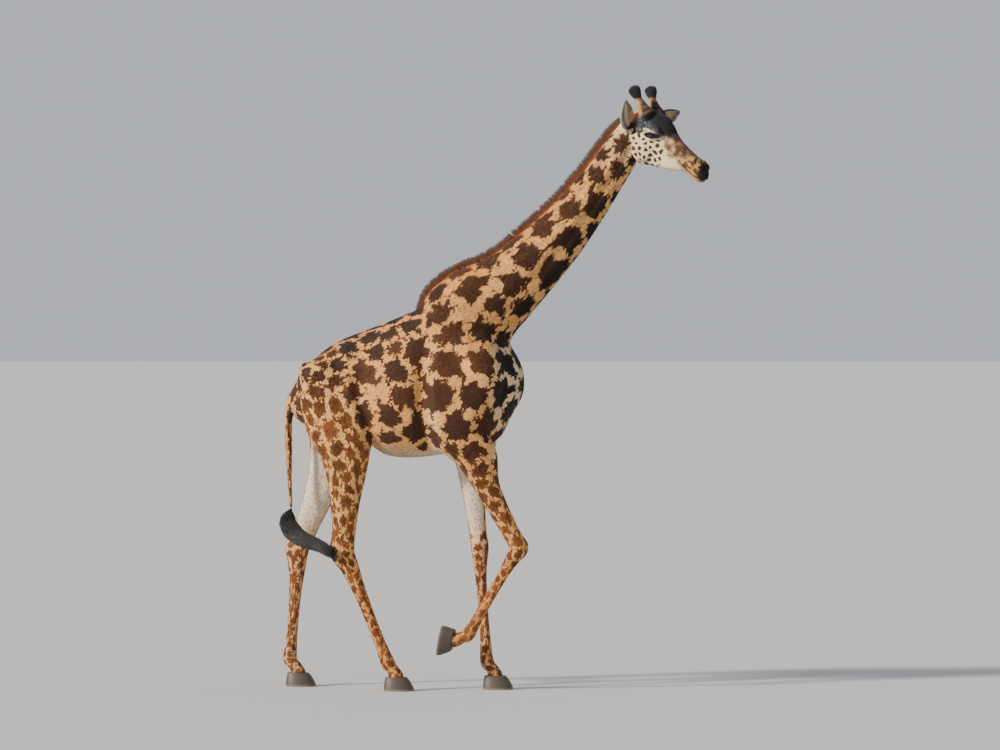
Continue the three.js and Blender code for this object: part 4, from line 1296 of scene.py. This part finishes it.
def ring_mesh(grid, name):
    """A tube whose last ring joins its first."""
    rings, around = grid.shape[:2]
    index = np.arange(rings * around).reshape(rings, around)
    ahead, beside = np.roll(index, -1, 0), np.roll(index, -1, 1)
    both = np.roll(ahead, -1, 1)
    quads = np.stack([index, beside, both, index, both, ahead], -1).reshape(-1, 3)
    return solid_mesh(grid.reshape(-1, 3), quads, name)


def lid_material():
    """Bare dark skin: fine wrinkles and a change of tone."""
    weave = Weave("lid_hide")
    tone = weave.noise(weave.node("TexCoord").outputs["Object"], 220.0, 4.0, 0.6)
    colour = weave.mix(tone, hue(0.07, 0.06, 0.06), hue(0.19, 0.16, 0.15))
    return weave.done({"Base Color": colour, "Roughness": 0.5, "Normal": weave.bump(tone, 0.4, 0.002)})


lid_hide = lid_material()
for side, name in SIDES:
    rim = ring_mesh(lid_surface(side)[:, ::side], f"lids_{name}")
    piece(rim, f"lids_{name}", lid_hide, "black_hair")


def hair_material(name, root, middle, tip, rough=0.62):
    """Hair that changes from its root to its tip, each lock in its own tone."""
    weave = Weave(name)
    share, tone = weave.read("share"), weave.read("tone")
    colour = weave.mix(weave.step(share, 0.0, 0.5), root, middle)
    uneven = weave.maths("ADD", share, weave.maths("MULTIPLY", tone, 0.3))
    colour = weave.mix(weave.step(uneven, 0.55, 1.1), colour, tip)
    colour = weave.scaled(colour, weave.spread(tone, 0.75, 0.62))
    return weave.done(
        {"Base Color": colour, "Roughness": rough, "Specular IOR Level": 0.35, "Sheen Weight": 0.1}
    )


def hair_piece(paths, widths, name, material, slot, seed, wide=None, nodes=()):
    """Locks as one object, each with its tone and its patch of the bake map."""
    mesh, per = locks_mesh(paths, widths, name, wide)
    tones = np.random.default_rng(seed).random(len(paths))
    attributes(mesh, {"tone": np.repeat(tones, per)})
    bake_patches(mesh, chart_places(paths[:, 0]), per)
    piece(mesh, name, material, slot, *nodes)


black = hair_material("black_hair", hue(0.10, 0.09, 0.10), hue(0.13, 0.12, 0.14), hue(0.17, 0.15, 0.17), 0.5)
LASHES = [  # upper lid or lower, how many, length, which way they stand and how they curl
    (True, 160, 0.036, 1.0, 0.42),
    (False, 70, 0.014, -1.0, -0.3),
]
rng = np.random.default_rng(3)
lash_paths = []
for side, _ in SIDES:
    for upper, count, long, sign, curl in LASHES:
        share = np.sort(rng.uniform(0.06, 0.97, count))
        along, out, up = (column[:, None] for column in lid_line(share, upper, 0.003))
        length = long * (0.75 + 0.5 * rng.random(count)) * (0.55 + 0.45 * np.sin(np.pi * share))
        length = length[:, None]
        t = np.linspace(0, 1, 6)[None]
        fan = (share - 0.45)[:, None] * 1.3
        rise = up + length * sign * (0.28 * t - curl * t**2) - 0.001 * sign
        lash_paths.append(
            eye_to_frame(side, along + length * fan * t, out + length * (0.80 * t - 0.10 * t**2), rise)
        )
lash_paths = np.concatenate(lash_paths)
lash_widths = 0.0020 * np.linspace(1, 0.2, 6)[None] * np.ones((len(lash_paths), 1))
hair_piece(lash_paths, lash_widths, "lashes", black, "black_hair", 4)

# ---- ossicones ------------------------------------------------------------------------------
# Horns of bone under skin: tan stems that grow out of the skull and carry black, thickly haired
# knobs. Each is a round loft whose foot is sunk in the head.

STEM = [(-0.10, 0.030), (0.06, 0.034), (0.20, 0.0335), (0.40, 0.0255), (0.56, 0.0245)]
KNOB = [(0.70, 0.032), (0.84, 0.0355), (0.94, 0.029), (0.99, 0.019), (1.015, 0.009), (1.02, 0.001)]
HORN_PROFILE = smooth(STEM + KNOB, 6)  # share of the length, radius


def ossicone_surface(side, around=44):
    """Circles along a straight line, with a slow swelling from side to side."""
    root, lean, ahead, beside = ossicone_frame(side)
    share, radius = HORN_PROFILE.T[:, :, None]
    angle = np.arange(around) / around * 2 * np.pi * np.ones((len(share), 1))
    radius = radius * (1 + 0.035 * np.sin(2 * angle + 7 * share))
    spine = root + lean * (STEM_LENGTH * share[..., None])
    grid = spine + ahead * (radius * np.cos(angle))[..., None] + beside * (radius * np.sin(angle))[..., None]
    return from_head(grid), (share * np.ones(around)).ravel(), angle.ravel()


SOOT = hue(0.12, 0.11, 0.12)
COMB_APART = 20  # so far from the skin's own parts in the noise of the streaks
for side, name in SIDES:
    grid, share, angle = ossicone_surface(side)
    front, along = np.cos(angle), share * STEM_LENGTH * STREAK + COMB_APART
    tint = layered(np.tile(TAN, (len(share), 1)), [
        (ramp(front, -0.2, 0.55) * ramp(share, 0.75, 0.2), CHARCOAL),
        (ramp(share + 0.06 * front, 0.50, 0.62), SOOT),
    ])
    horn = grid_mesh([grid], f"ossicone_{name}")
    attributes(horn, {
        "ground": tint,
        "spot": tint,
        "inside": np.full(len(share), -1.0),
        "ragged": np.full(len(share), 0.3),
        "root": grid.reshape(-1, 3),
        "comb": np.stack([0.035 * front, 0.035 * np.sin(angle), along], 1),
    })
    shade_smooth(horn)
    piece(horn, f"ossicone_{name}_skin", coat, "face", f"ossicone_{name}")

rng = np.random.default_rng(5)
count = 1500
tuft_paths, tuft_ways = [], []
for side, _ in SIDES:
    root, lean, ahead, beside = ossicone_frame(side)
    share = 0.56 + 0.46 * rng.random(count) ** 0.85
    angle = rng.random(count) * 2 * np.pi
    radius = np.interp(share, *HORN_PROFILE.T)
    out = ahead * np.cos(angle)[:, None] + beside * np.sin(angle)[:, None]
    start = root + lean * (STEM_LENGTH * share)[:, None] + out * (radius - 0.002)[:, None]
    splay = (0.30 + 0.25 * rng.random(count))[:, None]
    way = unit(lean * 1.0 + out * splay + rng.normal(0, 0.12, (count, 3)))
    length = (0.016 + 0.010 * rng.random(count)) * (1 - 0.45 * ramp(share, 0.85, 1.0))
    t = np.linspace(0, 1, 4)[None, :, None]
    path = start[:, None] + way[:, None] * length[:, None, None] * t
    path = path + (lean * 0.5 - out * 0.25)[:, None] * length[:, None, None] * t**2 * 0.5
    tuft_paths.append(from_head(path))
    tuft_ways.append(np.repeat((out @ HEAD_AXES.T)[:, None], 4, 1))
tuft_paths = np.concatenate(tuft_paths)
tuft_widths = 0.0026 * np.array([1.0, 0.9, 0.6, 0.0])[None] * np.ones((len(tuft_paths), 1))
hair_piece(tuft_paths, tuft_widths, "ossicone_hair", black, "black_hair", 6, np.concatenate(tuft_ways))

# ---- hooves ---------------------------------------------------------------------------------
# Two toes of dark horn on each foot, with fine rings of growth. Each is the outline of its sole
# carried up to the coronet, and is held on the foot by its skin.

HOOF_LEVELS = [  # height, share of the sole's outline, and how far it sits forwards
    (0.094, 0.60, -0.018), (0.092, 0.70, -0.016), (0.0736, 0.80, -0.009),
    (0.0322, 0.95, 0.0), (0.005, 0.998, 0.005), (0.0, 0.975, 0.005),
]


def toe_surface(name, inward, around=56):
    """The outline runs straight along the cleft and round outside, and narrows going up."""
    angle = np.arange(around) / around * 2 * np.pi
    c, s = np.cos(angle), np.sin(angle)
    forward = 0.1025 * np.sign(c) * abs(c) ** 0.8
    outward = np.where(s > 0, np.maximum(s, 0) ** 0.7 * np.where(c > 0, 1 - 0.15 * c, 1), 0.04 * s)
    height, scale, shift = smooth(HOOF_LEVELS, 7).T[:, :, None]
    x = 0.070 + shift + forward * scale
    y = (0.0035 + 0.076 * outward * scale) * inward
    z = np.maximum(height, 0.0) - FETLOCK + 0 * x
    foot = np.stack([x, y, z], -1) @ foot_axes(LEGS[name][2]).T + np.array(LEGS[name][1][1]) - MIDDLE
    return foot[:, ::inward][::-1], np.stack([x, y, height + 0 * x], -1)[:, ::inward][::-1]


def horn_material():
    """Grey-brown horn: rings of growth, streaks down the wall, paler and dusty at the ground."""
    weave = Weave("horn")
    rise, wall = weave.read("rise"), weave.read("wall", "Vector")
    rings = weave.maths("MULTIPLY", weave.spread(weave.noise(wall, 14.0), 0.012, rise), 900.0)
    drawn_down = weave.node("VectorMath", {0: wall, 1: (1, 1, 0.08)}, operation="MULTIPLY").outputs[0]
    streak = weave.noise(drawn_down, 260.0)
    colour = weave.mix(streak, hue(0.20, 0.17, 0.15), hue(0.38, 0.33, 0.28))
    colour = weave.mix(weave.step(rise, 0.022, 0.0), colour, hue(0.50, 0.43, 0.35))
    relief = weave.maths("ADD", weave.maths("MULTIPLY", weave.maths("SINE", rings), 0.35), streak)
    return weave.done({"Base Color": colour, "Roughness": 0.5, "Normal": weave.bump(relief, 0.35, 0.0015)})


toes = [toe_surface(name, inward) for name in LEGS for inward in (1, -1)]
hooves = grid_mesh([grid for grid, _ in toes], "hooves")
walls = np.concatenate([wall.reshape(-1, 3) for _, wall in toes])
attributes(hooves, {"rise": walls[:, 2], "wall": walls})
smooth_faces = np.array([len(face.vertices) == 4 for face in hooves.polygons])
hooves.polygons.foreach_set("use_smooth", smooth_faces)
toe_names = [f"hoof_{name.replace('leg', '')}_{where}" for name in LEGS for where in ("inner", "outer")]
piece(hooves, "hooves", horn_material(), "hoof", *toe_names)

# ---- short coat -----------------------------------------------------------------------------
# Short hair lies flat over the whole animal. Mostly it is the relief of the skin's own surface.
# These tufts break the outline and catch the light. Each is a thin spike lying along the body.

skin_mesh.calc_loop_triangles()
triangle = numbers(skin_mesh.loop_triangles, "vertices", 3, np.int32)
corners = points[triangle]
area = np.linalg.norm(np.cross(corners[:, 1] - corners[:, 0], corners[:, 2] - corners[:, 0]), axis=1) / 2
centre = corners.mean(1)
head_share, ear_share = on_head[triangle].mean(1), on_ear[triangle].mean(1)
neck_share = weight["neck"][triangle].mean(1)
bare = (around_eye[triangle].min(1) < 1.3) & (s[triangle].mean(1) > 0.04) | (nostril[triangle].min(1) < 1.2)
low_share = ramp(centre[:, 2], 1.6, 0.5)
tuft_long = 0.016 - 0.007 * low_share
tuft_long = tuft_long + (0.008 - tuft_long) * head_share
tuft_long = tuft_long + (0.012 - tuft_long) * ear_share
TUFT_SHARE, LOCK_SHARE = ((1.0, 1.0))  # of tufts and long locks made
TUFTS = int(60000 * TUFT_SHARE)
REGIONS = {
    "coat_head_and_legs": np.clip(head_share * 3.0 + low_share * 1.6 + ear_share * 2.5, 0, 4),
    "coat_neck": (1 - head_share) * neck_share,
    "coat_body": (1 - head_share) * (1 - neck_share) * (1 - 0.8 * low_share),
}


def tufts(shares, count, seed):
    """Spikes on places drawn over the skin: each leaves its root along the lie of the hair, a
    little off the surface. Three corners at the root and one at the tip."""
    rng = np.random.default_rng(seed)
    chance = area * shares * ~bare
    pick = rng.choice(len(triangle), count, p=chance / chance.sum())
    u, v = rng.random((2, count))
    u, v = np.where(u + v > 1, 1 - u, u), np.where(u + v > 1, 1 - v, v)
    parts = np.stack([1 - u - v, u, v], 1)[..., None]

    def at(values):
        """What the skin's points say, read at the tufts' roots."""
        values = values if values.ndim > 1 else values[:, None]
        return (values[triangle[pick]] * parts).sum(1)

    root, out, way = at(points), unit(at(normals)), unit(at(lie))
    way = unit(way + 0.22 * rng.normal(0, 1, (count, 3)))
    way = unit(way - out * (way * out).sum(1)[:, None])
    across = np.cross(out, way)
    long = (tuft_long[pick] * rng.uniform(0.7, 1.35, count))[:, None]
    lift = rng.uniform(0.06, 0.22, count)[:, None]
    half = 0.055 * long + 0.0004
    sunk = root - out * 0.0012
    tip = root + long * (way + out * lift)
    spikes = np.stack([sunk - across * half, sunk + across * half, root + out * 0.0012, tip], 1)
    pattern = np.array([[0, 2, 3], [2, 1, 3], [1, 0, 3]])
    faces = (pattern[None] + 4 * np.arange(count)[:, None, None]).reshape(-1, 3)
    fields = {key: np.repeat(at(values), 4, axis=0).squeeze() for key, values in COAT.items()}
    fields["comb"] = fields["comb"] + np.tile([[0, 0, 0], [0, 0, 0], [0, 0, 0], [0, 0, 0.002]], (count, 1))
    return spikes.reshape(-1, 3), faces, root, fields


for seed, (name, shares) in enumerate(REGIONS.items()):
    spikes, faces, roots, fields = tufts(shares, TUFTS, 11 + seed)
    mesh = solid_mesh(spikes, faces[:, ::-1], name)
    attributes(mesh, fields)
    bake_patches(mesh, chart_places(roots), 4)
    piece(mesh, name, coat, "face" if "head" in name else "spotted_coat")

# ---- mane -----------------------------------------------------------------------------------
# A stiff upright fringe of rust-brown hair with dark tips, from the withers to behind the ears.
# Each lock stands on the crest of the neck, its root sunk in the skin.

CLUMPS = 260
MANE_HEIGHT, MANE_HALF = 0.068, 0.014  # how tall it stands, and half its width at the roots


def read_between(at, places, values):
    """A table's columns, read at places between its rows."""
    if values.ndim == 1:
        return np.interp(at, places, values)
    return np.stack([np.interp(at, places, column) for column in values.T], -1)


rng = np.random.default_rng(21)
count = int(9000 * LOCK_SHARE)
t = rng.random(count) ** 0.95
stations = np.arange(len(neck.centre))
station = t * (len(neck.centre) - 1)
crest, out, forward, sideways = (
    read_between(station, stations, values)
    for values in (neck.centre + neck.upper * neck.top[:, None], neck.upper, neck.along, neck.lateral)
)
out, forward, sideways = unit(out), unit(forward), unit(sideways)
tall = MANE_HEIGHT * np.minimum(1, 0.25 + 5 * t) * (1 - 0.35 * np.maximum(0, t - 0.9) * 10)
off_middle = np.clip(rng.normal(0, 0.5, count), -1, 1) * MANE_HALF
clump_at = (t * (CLUMPS - 1), np.arange(CLUMPS))
long = tall * rng.uniform(0.72, 1.06, count) * np.interp(*clump_at, rng.uniform(0.84, 1.0, CLUMPS))
long = (long * (1 - 0.25 * abs(off_middle) / MANE_HALF) + 0.020)[:, None]
clump = np.interp(*clump_at, rng.normal(0, 0.15, CLUMPS)) + rng.normal(0, 0.05, count)
root = crest - out * 0.022 + sideways * off_middle[:, None]
lean_on = (0.05 + clump + rng.normal(0, 0.07, count))[:, None]
splay = (off_middle * 9.0 + rng.normal(0, 0.08, count))[:, None]
way = unit(out + forward * lean_on + sideways * splay)
share = np.linspace(0, 1, 4)[None, :, None]
path = root[:, None] + way[:, None] * long[:, None] * share
path = path - forward[:, None] * long[:, None] * 0.10 * share**2
mane_widths = 0.0046 * np.array([1.0, 1.0, 0.7, 0.0])[None] * rng.uniform(0.7, 1.2, (count, 1))
rust = hair_material("mane_hair", hue(0.74, 0.47, 0.27), hue(0.56, 0.31, 0.16), hue(0.17, 0.10, 0.07), 0.6)
hair_piece(path, mane_widths, "mane_locks", rust, "mane", 22, np.repeat(sideways[:, None], 4, 1), ("mane",))

# ---- tail tassel ----------------------------------------------------------------------------
# Long, coarse, blue-black hair that leaves the end of the tail and swings forwards past the hock.

TASSEL = np.array([  # its middle line, and how far its hairs lie from that
    [-0.752, -0.017, 1.224, 0.017], [-0.772, -0.026, 1.180, 0.046], [-0.765, -0.050, 1.110, 0.058],
    [-0.700, -0.095, 1.045, 0.056], [-0.610, -0.160, 1.010, 0.048], [-0.510, -0.238, 0.985, 0.042],
    [-0.420, -0.285, 0.940, 0.032], [-0.355, -0.300, 0.890, 0.014],
])
PLACES = 10  # along a hair
line = smooth(TASSEL, 10)
line_length = np.concatenate([[0], np.cumsum(np.linalg.norm(np.diff(line[:, :3], axis=0), axis=1))])
line_along = unit(np.gradient(line[:, :3], axis=0))
line_wide = unit(np.cross(line_along, [0.0, 0.0, 1.0]) + [0.0, -0.3, 0.0])
line_wide = unit(line_wide - line_along * (line_wide * line_along).sum(1)[:, None])
rng = np.random.default_rng(31)
count = int(1700 * LOCK_SHARE)
begin = rng.uniform(0.0, 0.16, count) * line_length[-1]
end = begin + (line_length[-1] - begin) * rng.uniform(0.25, 1.0, count) ** 0.7
run = begin[:, None] + (end - begin)[:, None] * np.linspace(0, 1, PLACES)[None]
middle, size, wide, thick = (
    read_between(run, line_length, values)
    for values in (line[:, :3], line[:, 3], line_wide, np.cross(line_along, line_wide))
)
past = run - begin[:, None]
turn = rng.random(count)[:, None] * 2 * np.pi + 1.2 * past / line_length[-1]
reach = np.sqrt(rng.random(count))[:, None] * np.minimum(1.0, 0.25 + past / 0.05)
size = size * reach * (1 + 0.12 * np.sin(run * 60.0 + 9 * turn))
path = middle - MIDDLE
path = path + wide * (size * np.cos(turn))[..., None] + thick * (size * np.sin(turn))[..., None]
path[..., 2] -= 0.018 * (past / line_length[-1]) ** 2 * rng.random((count, 1))
tassel_widths = 0.0038 * np.linspace(1, 0.35, PLACES)[None] * rng.uniform(0.7, 1.2, (count, 1))
hair_piece(path, tassel_widths, "tassel_hair", black, "black_hair", 32, None, ("tail_tassel",))

# ---- ear hair -------------------------------------------------------------------------------
# Pale hair that stands along the inner edges of the ears and closes their mouths.

rng = np.random.default_rng(41)
count = 700
ear_paths = []
for side in EARS:
    share = rng.uniform(0.08, 0.88, count)
    edge = rng.choice([-1.0, 1.0], count) * rng.uniform(0.45, 0.96, count)
    start = ear_section(side, share, edge, np.ones(count))
    ahead = ear_section(side, np.minimum(share + 0.10, 0.99), edge * 0.55, np.full(count, 1.6))
    long = rng.uniform(0.012, 0.026, count)[:, None, None] * (1 - 0.4 * share)[:, None, None]
    way = unit(ahead - start)
    opening = HEAD_AXES @ ear_frame(side)[2]
    step = np.linspace(0, 1, 4)[None, :, None]
    curl = way[:, None] * step + 0.5 * opening * step - 0.2 * opening * step**2
    ear_paths.append(start[:, None] + long * curl)
ear_paths = np.concatenate(ear_paths)
ear_widths = 0.0018 * np.array([1.0, 0.8, 0.5, 0.0])[None] * np.ones((len(ear_paths), 1))
pale_hair = hair_material("pale_hair", hue(0.62, 0.56, 0.50), hue(0.86, 0.81, 0.73), hue(0.94, 0.90, 0.84))
hair_piece(ear_paths, ear_widths, "ear_hair", pale_hair, "pale_coat", 42)

# ---- floor and light ------------------------------------------------------------------------
# A plain pale floor, a broad key light from behind on the animal's right, and a dome of pale light.

FLOOR_REACH = 900
floor_mesh = bpy.data.meshes.new("floor")
floor_corners = [(FLOOR_REACH * i, FLOOR_REACH * j, 0) for i, j in ((-1, -1), (1, -1), (1, 1), (-1, 1))]
floor_mesh.from_pydata(floor_corners, [], [(0, 1, 2, 3)])
floor = bpy.data.objects.new("floor", floor_mesh)
bpy.context.scene.collection.objects.link(floor)
weave = Weave("floor")
cloud = weave.noise(weave.node("TexCoord").outputs["Object"], 0.8)
floor_tone = weave.node("MapRange", {"Value": cloud, "To Min": 0.55, "To Max": 0.59}).outputs[0]
floor_mesh.materials.append(weave.done({"Base Color": floor_tone, "Roughness": 0.9}))

KEY_FROM = (-0.95, -0.66, 0.60)
key = bpy.data.lights.new("key", "SUN")
key.energy = 5.2
key.angle = np.radians(7.0)
key.color = (1.0, 0.93, 0.83)
sun = bpy.data.objects.new("key", key)
bpy.context.scene.collection.objects.link(sun)
sun.rotation_euler = Vector(KEY_FROM).to_track_quat("Z", "Y").to_euler()
world = bpy.data.worlds.new("dome")
world.use_nodes = True
world.node_tree.nodes["Background"].inputs["Color"].default_value = (0.86, 0.90, 0.96, 1.0)
world.node_tree.nodes["Background"].inputs["Strength"].default_value = 0.62
bpy.context.scene.world = world
